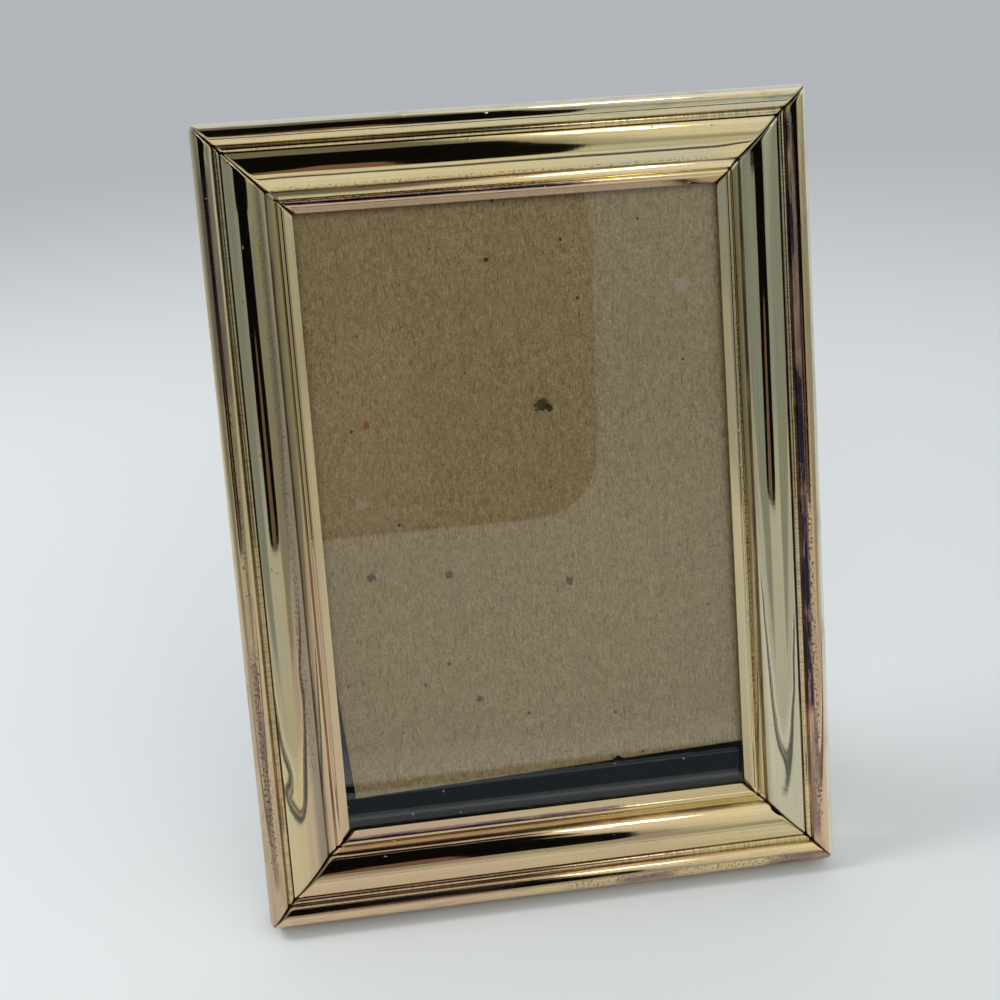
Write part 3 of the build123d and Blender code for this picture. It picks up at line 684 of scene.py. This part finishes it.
# A rail from its sheet's section, drawn from mitre to mitre
def railPiece(name, corner, along, inward, length, shape, s):
    width, joint = s["width"], s["joint"]
    widened = [(0, 0)] + [(place, place + shape["widen"] * share) for place, share in s["widen"]]
    widened.append((width, width))
    creases = [between(widened, line) for line in s["creases"]]
    section = sheetSection(s, shape["crestShift"], shape["lip"])
    outer = [(between(widened, a), z) if z > s["widenedFrom"] else (a, z) for a, z in section]
    normals = pathNormals(outer)
    lengths = [0.0]
    for one, two in zip(outer, outer[1:]):
        lengths.append(lengths[-1] + math.hypot(two[0] - one[0], two[1] - one[1]))
    whole = outer + insideOf(outer, normals, s["sheet"])[::-1]
    count, places = len(whole), railStations(s)
    points, uvs, told = [], [], []
    for kind, value in places:
        for j, (a, z) in enumerate(whole):
            outside, plainA = j < len(outer), a
            room = length - 2 * a - 2 * joint
            first, last = s["close"][-1], room - s["close"][-1]
            run = {"start": value, "end": room - value, "share": first + (last - first) * value}[kind]
            share, fromEnd = run / room, min(run, room - run)
            lift, rub = 0.0, 0.0
            if outside and a < s["polishWidth"]:
                rub = s["polish"] * math.exp(-(fromEnd / 0.9) ** 2) * (1 - a / s["polishWidth"])
            if outside and z > s["shownFrom"]:
                lift = faceLift(run, a, lengths[j], fromEnd, round(share), shape, s)
            if outside:
                a, z = a + normals[j].x * lift + rub, z + normals[j].y * lift
            x = joint + a + share * (length - 2 * a - 2 * joint)
            gape = max(0.0, (a - s["openFrom"]) / (width - s["openFrom"]))
            x += shape["openStart"] * gape * (1 - share) ** 4
            if shape["slot"] and share > 0.5:
                slotA, half, pull = shape["slot"]
                x -= pull * math.exp(-((a - slotA) / half) ** 4 - fromEnd / 1.6)
            points.append(corner + (along * x + inward * a + outFrame * z) * mm)
            uvs.append((x + shape["seed"] * 31, lengths[j] if outside else a))
            shown, high = outside and z > s["shownFrom"], outside and z > s["rubAndHighlightFrom"]
            told.append(markValues(outside, shown, high, x, plainA, fromEnd, length, creases, shape, s))
    faces, stations = [], len(places) - 1
    for k in range(stations):
        for j in range(count):
            one, two = k * count + j, k * count + (j + 1) % count
            faces.append((one, two, two + count, one + count))
    faces.append(tuple(reversed(range(count))))
    faces.append(tuple(range(stations * count, (stations + 1) * count)))
    rail = addPiece(name, points, faces, mouldingPlate)
    rail.data.set_sharp_from_angle(angle=math.radians(27))
    for mark in railMarks:
        made = rail.data.attributes.new(mark, "FLOAT", "POINT")
        made.data.foreach_set("value", [values[mark] for values in told])
    layMap(rail.data, uvs)
    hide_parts(name.replace("moulding", "rail"))
    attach(rail, "frame")


# Dents are: along, across, long, wide, deep. Blooms and dots are: from, to along, from, to across, strength.
# A slot is where the sheet's far end stops short of the joint: across, half its width, how far short.
# Film and hue are knots of (across, value), the film partly painted shade, and creased is how dark each of
# the four creases is.
plainRail = {"crestShift": 0.0, "widen": 0.75, "lip": 7.15, "openStart": 0.0, "slot": None}
# Each rail's pale outer edge is rubbed plate and a painted highlight, strongest on the top and right rails
railShapes = {
    "moulding_bottom": {
        "seed": 3.1, "openStart": 0.75, "slot": (13.2, 1.0, 0.75),
        "creased": (1, 1, 1.5, 0.15), "rubAndHighlight": 0.1, "film": [(0, 0.5), (1.2, 0.1), (20.5, 0.1)],
        "hue": [(0, 0.8), (20.5, 0.7)], "hueTurn": -0.5,
        "dents": [(60, 10.2, 9, 2.5, 0.02), (104, 13.2, 7, 1.6, 0.02)],
        "bloom": [(84, 98, 0.6, 2.4, 0.6), (121, 138, 0.2, 2.6, 0.7), (20, 60, 2.9, 4.2, 0.35),
                  (2, 86, 18.5, 19.3, 0.8)],
        "dots": [(70, 130, 0.8, 2.6, 0.7), (10, 60, 3.0, 4.4, 0.5)],
    },
    "moulding_right": {
        "seed": 7.7, "crestShift": -1.3, "creased": (1, 1, 1.3, 0.3), "rubAndHighlight": 1.1,
        "film": [(0, 0), (5.8, 0), (6.6, 0.1), (14.2, 0.1), (15, 0.4), (16, 0.3), (18.6, 0.15),
                 (19.3, 0.5), (20.5, 0.5)],
        "hue": [(0, 0.4), (3, 0.9), (5.0, 0.8), (6.0, 0.1), (15, 0.1), (16, 0.4), (20.5, 0.4)],
        "hueTurn": -0.2,
        "dents": [(21, 12.4, 4.6, 1.3, 0.12), (41.5, 7.9, 5, 1.5, -0.05), (112, 5.6, 0.35, 1.4, 0.35),
                  (96, 11.4, 0.5, 0.5, 0.10), (150, 9.0, 10, 2.5, 0.015)],
        "bloom": [(38, 124, 3.6, 5.0, 1.0), (6, 38, 3.0, 4.8, 0.5), (124, 178, 3.2, 4.8, 0.55),
                  (124, 180, 4.1, 5.1, 0.9)],
        "dots": [(8, 120, 2.5, 4.0, 0.9), (30, 150, 17.0, 18.2, 0.8)],
    },
    "moulding_top": {
        "seed": 12.4, "creased": (1, 0.8, 1, 0.5), "rubAndHighlight": 1.0, "film": [(0, 0), (20.5, 0)],
        "hue": [(0, 0.45), (17.6, 0.5), (18.8, 0.9), (20.5, 0.9)], "hueTurn": 0.35,
        "dents": [(14, 13.1, 4, 1.2, 0.09), (45, 7.3, 5, 1.2, 0.02), (52, 7.3, 3, 1.0, -0.015),
                  (90, 9.7, 14, 2.5, 0.015)],
        "bloom": [(106, 136, 2.6, 3.6, 0.3), (50, 136, 17.9, 18.7, 1.0)],
        "dots": [(20, 120, 14.5, 15.6, 0.7), (60, 130, 17.1, 18.5, 0.8)],
    },
    "moulding_left": {
        "seed": 20.9, "widen": 0.4, "lip": 7.65, "creased": (1, 0.45, 1, 0.4), "rubAndHighlight": 0.15,
        "film": [(0, 0.35), (1.2, 0.55), (2.2, 0.3), (4, 0.2), (5.2, 0.4), (6, 0.1), (7, 0.25), (12.4, 0.3),
                 (13.3, 0.85), (14.7, 0.85), (16, 0.5), (17, 0.2), (20.5, 0.15)],
        "hue": [(0, 0.6), (5.5, 0.5), (6.5, 0.1), (10, 0.2), (11.5, 0.75), (14, 0.8), (20.5, 0.6)],
        "hueTurn": 0.7,
        "dents": [(151, 7.2, 4.5, 1.5, 0.11), (159, 9.9, 5, 1.4, -0.06), (126, 13.4, 6, 1.4, 0.10),
                  (62, 9.4, 12, 2.2, 0.015)],
        "bloom": [(10, 60, 1.0, 3.9, 0.45), (120, 176, 1.8, 3.0, 0.5)],
        "dots": [(118, 172, 1.6, 3.3, 1.0), (60, 110, 2.0, 3.2, 0.6), (20, 150, 12.4, 14.2, 0.5)],
    },
}

halfWidth = fullWidth / 2
for name, corner, along, inward, length in (
    ("moulding_bottom", onFrame(-halfWidth, 0, 0), across, upFrame, fullWidth),
    ("moulding_right", onFrame(halfWidth, 0, 0), upFrame, -across, fullHeight),
    ("moulding_top", onFrame(halfWidth, fullHeight, 0), -across, -upFrame, fullWidth),
    ("moulding_left", onFrame(-halfWidth, fullHeight, 0), -upFrame, across, fullHeight),
):
    railPiece(name, corner, along, inward, length, {**plainRail, **railShapes[name]}, mouldingSet)
print("Moulding rolled")


# The loose card behind the glass

cardShape = {
    # Corners across and up the frame: low left, low right, top right, top left, a bend in the left edge
    "corners": [(-46.2, 27.1), (50.6, 30.3), (50.6, 165.6), (-50.2, 165.6), (-49.4, 68.0)],
    "middle": 96, "halves": (50, 68),
    "rear": 3.35, "thick": 0.6, "step": 0.45, "fray": 0.14,
    "tear": (18.0, 2.6, 1.1),   # across, wide, deep
}


# A card cut a little crooked, with furred edges and a small tear in its bottom edge
def looseCard(s):
    rng = random.Random(11)
    corners = s["corners"]
    rim = []
    for k, (x0, y0) in enumerate(corners):
        x1, y1 = corners[(k + 1) % len(corners)]
        steps = int(math.hypot(x1 - x0, y1 - y0) / s["step"])
        normal = Vector((y0 - y1, x1 - x0)).normalized()
        for i in range(steps):
            x, y = x0 + (x1 - x0) * i / steps, y0 + (y1 - y0) * i / steps
            pull = s["fray"] * (0.5 + 0.5 * noise.noise(Vector((x * 0.9, y * 0.9, 3))))
            pull += rng.uniform(0, 0.05)
            if k == 0:
                pull += s["tear"][2] * max(0.0, 1 - abs(x - s["tear"][0]) / (s["tear"][1] / 2))
            rim.append((x + normal.x * pull, y + normal.y * pull))
    points, count = [], len(rim)
    front, middle, (halfW, halfH) = s["rear"] + s["thick"], s["middle"], s["halves"]
    for out, inset in ((s["rear"], 0.0), (front - 0.12, 0.0), (front, 0.10)):   # a worn front edge
        for x, y in rim:
            up = middle + (y - middle) * (1 - inset / halfH)
            points.append(onFrame(x * (1 - inset / halfW), up, out))
    faces = [tuple(reversed(range(count))), tuple(range(2 * count, 3 * count))]
    for row in (0, count):
        faces += [(row + k, row + (k + 1) % count, row + count + (k + 1) % count, row + count + k)
                  for k in range(count)]
    card = addPiece("loose_card", points, faces, cardBoard, smooth=False)
    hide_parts("insert_card")
    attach(card, "frame")


looseCard(cardShape)
print("Card cut")


# Velvet on the back board

backVelvetSet = {"width": 104.4, "height": 152.4, "middle": 93, "rear": 0.1, "deep": 2.9, "round": 0.7,
                 "cloth": 0.42, "step": 1.6, "sink": 0.05}   # sink: how far its slow waves reach


# Velvet drawn over the back board and down its four edges
def backVelvet(s):
    corner = s["round"]
    halfW, halfH = s["width"] / 2, s["height"] / 2
    columns, rows = int(s["width"] / s["step"]), int(s["height"] / s["step"])
    points, faces = [], []

    def addPoint(x, y, out):
        points.append(onFrame(x, y + s["middle"], out))
        return len(points) - 1

    def place(i, j):
        return (-halfW + corner + (s["width"] - 2 * corner) * i / columns,
                -halfH + corner + (s["height"] - 2 * corner) * j / rows)

    def wave(i, j):
        return s["sink"] * noise.noise(Vector((i * s["step"] * 0.07, j * s["step"] * 0.07, 5)))

    grid = [[addPoint(*place(i, j), s["rear"] + max(0.0, wave(i, j))) for i in range(columns + 1)]
            for j in range(rows + 1)]
    for j in range(rows):
        for i in range(columns):
            faces.append((grid[j][i], grid[j + 1][i], grid[j + 1][i + 1], grid[j][i + 1]))
    rim = ([(i, 0) for i in range(columns)] + [(columns, j) for j in range(rows)]
           + [(i, rows) for i in range(columns, 0, -1)] + [(0, j) for j in range(rows, 0, -1)])
    last = [grid[j][i] for i, j in rim]
    # Rings round the edge's quarter turn, up to 1, and then straight down the edge
    for step in (0.25, 0.5, 0.75, 1.0, 1.6, 2.3, (s["deep"] - corner) / corner + 1):
        angle = min(step, 1.0) * math.pi / 2
        push = corner * math.sin(angle)
        out = s["rear"] + (corner * (1 - math.cos(angle)) if step <= 1 else corner + (step - 1) * corner)
        ring = []
        for i, j in rim:
            x, y = place(i, j)
            toX = (-1 if i == 0 else 1 if i == columns else 0)
            toY = (-1 if j == 0 else 1 if j == rows else 0)
            scale = diagonal if toX and toY else 1.0
            ring.append(addPoint(x + toX * push * scale, y + toY * push * scale, out))
        for k in range(len(rim)):
            n = (k + 1) % len(rim)
            faces.append((last[k], last[n], ring[n], ring[k]))
        last = ring
    piece = addPiece("back_velvet_cover", points, faces, velvet)
    thicken(piece, s["cloth"], -1)
    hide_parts("back_velvet")
    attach(piece, "frame")


backVelvet(backVelvetSet)


# Velvet round the leg

legVelvetSet = {"top": -2.8, "topWidth": 32.0, "footWidth": 46.0, "length": 121.81, "corner": 5.0,
                "half": 1.5, "round": 0.75, "cloth": 0.42, "step": 1.6,
                "spare": 0.4}   # drawn past the foot, before the table cuts it


# Half of the leg's width at a height, with its rounded top corners
def legHalfWidth(up, s):
    share = (s["top"] - up) / (s["length"] + s["top"])
    half = (s["topWidth"] + (s["footWidth"] - s["topWidth"]) * share) / 2
    below = s["top"] - up
    if below < s["corner"]:
        half -= s["corner"] - math.sqrt(max(0.0, s["corner"] ** 2 - (s["corner"] - below) ** 2))
    return half


# Velvet wrapped round the leg's board as a flat sleeve, cut level where it stands on the table
def legVelvet(s):
    heights = [s["top"] - s["corner"] * (1 - math.cos(k * math.pi / 16)) for k in range(1, 9)]
    foot = -s["length"] - s["spare"]
    more = int((heights[-1] - foot) / s["step"])
    heights += [heights[-1] + (foot - heights[-1]) * k / more for k in range(1, more + 1)]
    # A flat ring, as share of the half width, place across the edge, out: one half, and it turned round
    edge = [(1.0, s["round"] * math.sin(t), s["half"] - s["round"] * (1 - math.cos(t)))
            for t in (0.5, 1.05, math.pi / 2)]
    half = ([(-1 + 2 * k / 18, 0.0, -s["half"]) for k in range(19)]
            + [(share, push, -out) for share, push, out in edge] + edge[::-1])
    section = half + [(-share, -push, -out) for share, push, out in half]
    points, faces, count = [], [], len(section)
    for up in heights:
        half = legHalfWidth(up, s) - s["round"]
        for share, push, out in section:
            point = onLeg(share * half + push, up, out)
            point.z = max(point.z, 0.0)   # cut flat on the table
            points.append(point)
    for row in range(len(heights) - 1):
        for k in range(count):
            one, two = row * count + k, row * count + (k + 1) % count
            faces.append((one, one + count, two + count, two))
    faces.append(tuple(range(count)))     # over the top edge
    piece = addPiece("leg_velvet_sleeve", points, faces, velvet)
    piece.data.set_sharp_from_angle(angle=math.radians(50))
    thicken(piece, s["cloth"], 1)   # its faces look inwards
    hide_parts("leg_velvet")
    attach(piece, "leg")


legVelvet(legVelvetSet)
print("Velvet laid")


# The ribbon between the board and the leg

ribbonSet = {"width": 10.0, "thick": 0.3, "boardFace": 0.1, "boardFold": 50.99,
             "legFace": 1.5, "legFold": -84.0, "tab": 10.0, "sag": 0.6, "bend": 0.7}


# A satin ribbon riveted to the board and to the leg, nearly taut
def ribbonStay(s):
    bend = s["bend"] * 2
    onBoard, overLeg = s["boardFace"] - s["thick"] / 2, s["legFace"] + s["thick"] / 2
    start, end = onFrame(0, s["boardFold"], onBoard), onLeg(0, s["legFold"], overLeg)
    drop, rise = onFrame(0, s["boardFold"] + bend, onBoard), onLeg(0, s["legFold"] + bend, overLeg)
    ease = (end - start).normalized() * bend * mm
    afterStart, beforeEnd = start + ease, end - ease
    # Its middle line: a tab, a small round fold, the run, another fold and the other tab
    line = [onFrame(0, s["boardFold"] + s["tab"], onBoard), drop]
    line += [bentPoint(drop, start, afterStart, k / 6) for k in range(1, 6)]
    for k in range(25):
        t = k / 24
        line.append(afterStart.lerp(beforeEnd, t) - Vector((0, 0, s["sag"] * mm * math.sin(math.pi * t))))
    line += [bentPoint(beforeEnd, end, rise, k / 6) for k in range(1, 6)]
    line += [rise, onLeg(0, s["legFold"] + s["tab"], overLeg)]
    points, faces, uvs, columns, gone = [], [], [], 8, 0.0
    for k, point in enumerate(line):
        if k:
            gone += (point - line[k - 1]).length / mm
        for c in range(columns + 1):
            side = (c / columns - 0.5) * s["width"]
            points.append(point + across * side * mm)
            uvs.append((gone, side))
    for k in range(len(line) - 1):
        for c in range(columns):
            one = k * (columns + 1) + c
            faces.append((one, one + 1, one + columns + 2, one + columns + 1))
    piece = addPiece("ribbon_strip", points, faces, satin)
    layMap(piece.data, uvs)
    thicken(piece, s["thick"] * 0.9, 0)
    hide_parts("ribbon_stay")
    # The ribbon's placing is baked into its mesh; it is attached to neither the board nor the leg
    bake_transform(piece)
    print("Ribbon is", round(gone, 1), "mm long")


ribbonStay(ribbonSet)


# Stage: a pale floor, soft light all round, and the dark room in front

stageSet = {
    "floor": (0.83, 0.85, 0.85),
    "clouded": (0.80, 0.80, 0.79),
    "half": 2.0,                     # half of the floor's side in metres
    "middle": (0.0, -0.40, 0.0),     # where its fade is counted from
    "fade": (0.64, 1.06),            # how far from there it starts and ends
    "seen": (0.445, 0.468, 0.491),   # the backdrop behind the floor
    # What the reflections show and the light comes from
    "left": (0.42, 0.48, 0.50),
    "right": (0.64, 0.68, 0.69),
    "back": (0.66, 0.71, 0.76),
    "front": (0.58, 0.61, 0.58),
    "frontSides": (0.30, 0.33, 0.31),
    "frontHigh": (0.36, 0.39, 0.38),
    "frontRight": (0.74, 0.76, 0.72),
    "highRight": (0.88, 0.88, 0.84),
    "top": (0.62, 0.65, 0.66),
    "dark": (0.17, 0.18, 0.175),
    "below": (0.55, 0.57, 0.57),
}


def paleFloor(s):
    f = Finish("pale_floor")
    place = f.place()
    speck = f.noise(place, 900.0, 3.0)
    cloud = f.noise(place, 6.0, 2.0)
    tone = f.mixColour(f.times(cloud, 0.3), rgb(*s["floor"]), rgb(*s["clouded"]))
    f.set(Base_Color=tone, Roughness=0.6, Specular_IOR_Level=0.2, Normal=f.bump(speck, 0.00008, 0.3))
    # The floor fades into the backdrop a little way behind and all round
    apart = f.node("VectorMath", {0: place, 1: s["middle"]}, operation="DISTANCE").outputs["Value"]
    near, far = s["fade"]
    share = f.node("MapRange", {0: apart, 1: near, 2: far}, interpolation_type="SMOOTHSTEP").outputs[0]
    clear = f.node("BsdfTransparent").outputs[0]
    fade = f.node("MixShader", {"Fac": share, 1: f.shader.outputs[0], 2: clear})
    f.join(fade.outputs[0], f.output.inputs["Surface"])
    half = s["half"]
    corners = [(-half, -half, 0), (half, -half, 0), (half, half, 0), (-half, half, 0)]
    addPiece("stage_floor", corners, [(0, 1, 2, 3)], f.material)


# Pale walls all round, lighter to the right, behind and overhead, and dark high up in front
def softWorld(s):
    world = bpy.data.worlds.new("soft_light")
    world.use_nodes = True
    bpy.context.scene.world = world
    w = Finish.__new__(Finish)
    w.tree = world.node_tree
    parts = w.node("SeparateXYZ", {"Vector": w.node("TexCoord").outputs["Generated"]}).outputs
    x, y, z = parts["X"], parts["Y"], parts["Z"]
    tone = w.mixColour(w.level(x, -0.3, 0.6), rgb(*s["left"]), rgb(*s["right"]))
    tone = w.mixColour(w.level(y, -0.1, 0.6), tone, rgb(*s["back"]))
    # In front: pale low down, dimmer to the sides and a little higher, dark above
    sideways = w.math("DIVIDE", x, w.math("MAXIMUM", w.times(y, -1.0), 0.01))
    level = w.mixColour(w.level(z, 0.08, 0.16), rgb(*s["front"]), rgb(*s["frontHigh"]))
    level = w.mixColour(w.level(w.math("ABSOLUTE", sideways), 0.32, 0.42), level, rgb(*s["frontSides"]))
    tone = w.mixColour(w.times(w.level(y, -0.25, -0.45), w.level(z, 0.5, 0.3)), tone, level)
    band = w.times(w.level(z, 0.30, 0.44), w.level(z, 0.96, 0.90))
    front = w.times(w.level(y, -0.05, -0.25), w.level(sideways, 0.26, 0.18))
    window = w.times(w.level(sideways, 0.20, 0.30), w.level(z, 0.22, 0.40))
    bright = w.mixColour(w.level(z, 0.62, 0.74), rgb(*s["frontRight"]), rgb(*s["highRight"]))
    tone = w.mixColour(w.times(window, w.level(y, -0.05, -0.15)), tone, bright)
    tone = w.mixColour(w.times(band, front), tone, rgb(*s["dark"]))
    tone = w.mixColour(w.level(z, 0.90, 0.98), tone, rgb(*s["top"]))
    tone = w.mixColour(w.level(z, 0.0, -0.02), tone, rgb(*s["below"]))
    light = w.node("Background", {"Color": tone, "Strength": 1.0})
    plain = w.node("Background", {"Color": rgb(*s["seen"])})
    mix = w.node("MixShader", {"Fac": w.node("LightPath").outputs["Is Camera Ray"],
                               1: light.outputs[0], 2: plain.outputs[0]})
    w.join(mix.outputs[0], w.tree.nodes["World Output"].inputs[0])


lampSet = [
    # name, place, aimed at, width, height, watts, seen in the metal
    ("overhead_fill", (-0.70, 0.14, 0.88), (0, 0, 0), 0.35, 0.35, 4.1, False),
    ("front_fill", (-0.10, -0.90, 0.80), (0, 0, 0.1), 0.7, 0.5, 2.5, False),
    ("patch_one", (0.110, -0.30, 0.60), (0, 0, 0.12), 0.006, 0.09, 0.015, True),
    ("patch_two", (0.131, -0.30, 0.62), (0, 0, 0.12), 0.005, 0.09, 0.015, True),
    ("patch_three", (0.146, -0.30, 0.60), (0, 0, 0.12), 0.007, 0.09, 0.021, True),
    ("patch_four", (0.164, -0.30, 0.61), (0, 0, 0.12), 0.005, 0.08, 0.012, True),
]


def softLamps(lamps):
    for name, place, target, width, height, watts, seen in lamps:
        data = bpy.data.lights.new(name, "AREA")
        data.shape, data.size, data.size_y, data.energy = "RECTANGLE", width, height, watts
        lamp = bpy.data.objects.new(name, data)
        bpy.context.scene.collection.objects.link(lamp)
        lamp.location = place
        lamp.rotation_mode = "QUATERNION"
        lamp.rotation_quaternion = (Vector(target) - Vector(place)).to_track_quat("-Z", "Y")
        lamp.visible_camera, lamp.visible_glossy = False, seen


# A plain card stood in front of the frame, which only its reflections show
def glowingCard(name, outline, tone):
    f = Finish(name)
    f.tree.nodes.remove(f.shader)
    glow = f.node("Emission", {"Color": rgb(*tone), "Strength": 1.0})
    f.join(glow.outputs[0], f.output.inputs["Surface"])
    card = addPiece("stage_" + name, outline, [tuple(range(len(outline)))], f.material, smooth=False)
    card.visible_camera = card.visible_shadow = card.visible_diffuse = False


# An upright outline at y through (x, z, radius) corners, each rounded
def rounded(corners, y):
    points, count = [], len(corners)
    for k, (x, z, radius) in enumerate(corners):
        here = Vector((x, z))
        before, after = Vector(corners[k - 1][:2]) - here, Vector(corners[(k + 1) % count][:2]) - here
        start, end = here + before.normalized() * radius, here + after.normalized() * radius
        for i in range(9):
            point = bentPoint(start, here, end, i / 8)
            points.append((point.x, y, point.y))
    return points


# The corners of a wide strip between two heights
def strip(low, high):
    return [(-0.6, low, 0.001), (0.6, low, 0.001), (0.6, high, 0.001), (-0.6, high, 0.001)]


# Cards in front: name, corners as (across, up, radius), where they stand, tone
unlit = (0.004, 0.004, 0.004)
frontCards = [
    ("far_gap", strip(0.0, 0.005), -0.520, (0.005, 0.005, 0.005)),
    ("far_rim", strip(0.005, 0.014), -0.520, (0.82, 0.82, 0.80)),
    ("dark_room", [(-0.120, 0.121, 0.02), (0.086, 0.121, 0.034), (0.098, 0.262, 0.02),
                   (0.078, 0.39, 0.02), (0.045, 0.51, 0.02), (-0.120, 0.51, 0.02)], -0.366, unlit),
    ("nearer_room", [(-0.110, 0.225, 0.01), (0.052, 0.225, 0.01), (0.044, 0.385, 0.02),
                     (-0.110, 0.385, 0.01)], -0.200, unlit),
    ("nearest_room", [(-0.090, 0.220, 0.01), (0.034, 0.220, 0.01), (0.028, 0.300, 0.02),
                      (-0.090, 0.300, 0.01)], -0.120, unlit),
    ("brown_blur", [(-0.066, 0.124, 0.01), (0.012, 0.124, 0.01), (0.004, 0.215, 0.01),
                    (-0.022, 0.215, 0.01)], -0.364, (0.20, 0.13, 0.10)),
]

paleFloor(stageSet)
softWorld(stageSet)
softLamps(lampSet)
for name, corners, y, tone in frontCards:
    glowingCard(name, rounded(corners, y), tone)
# A painted shadow over the floor in front: a dim glowing sheet that only reflections show
floorShadowOutline = ((-0.6, -0.475), (-0.04, -0.475), (0.19, -0.50), (0.6, -0.50), (0.6, -0.35), (-0.6, -0.35))
glowingCard("painted_floor_shadow", [(x, y, 0.0006) for x, y in floorShadowOutline], (0.10, 0.12, 0.14))
bpy.context.scene.view_settings.view_transform = "Standard"
print("Stage lit")
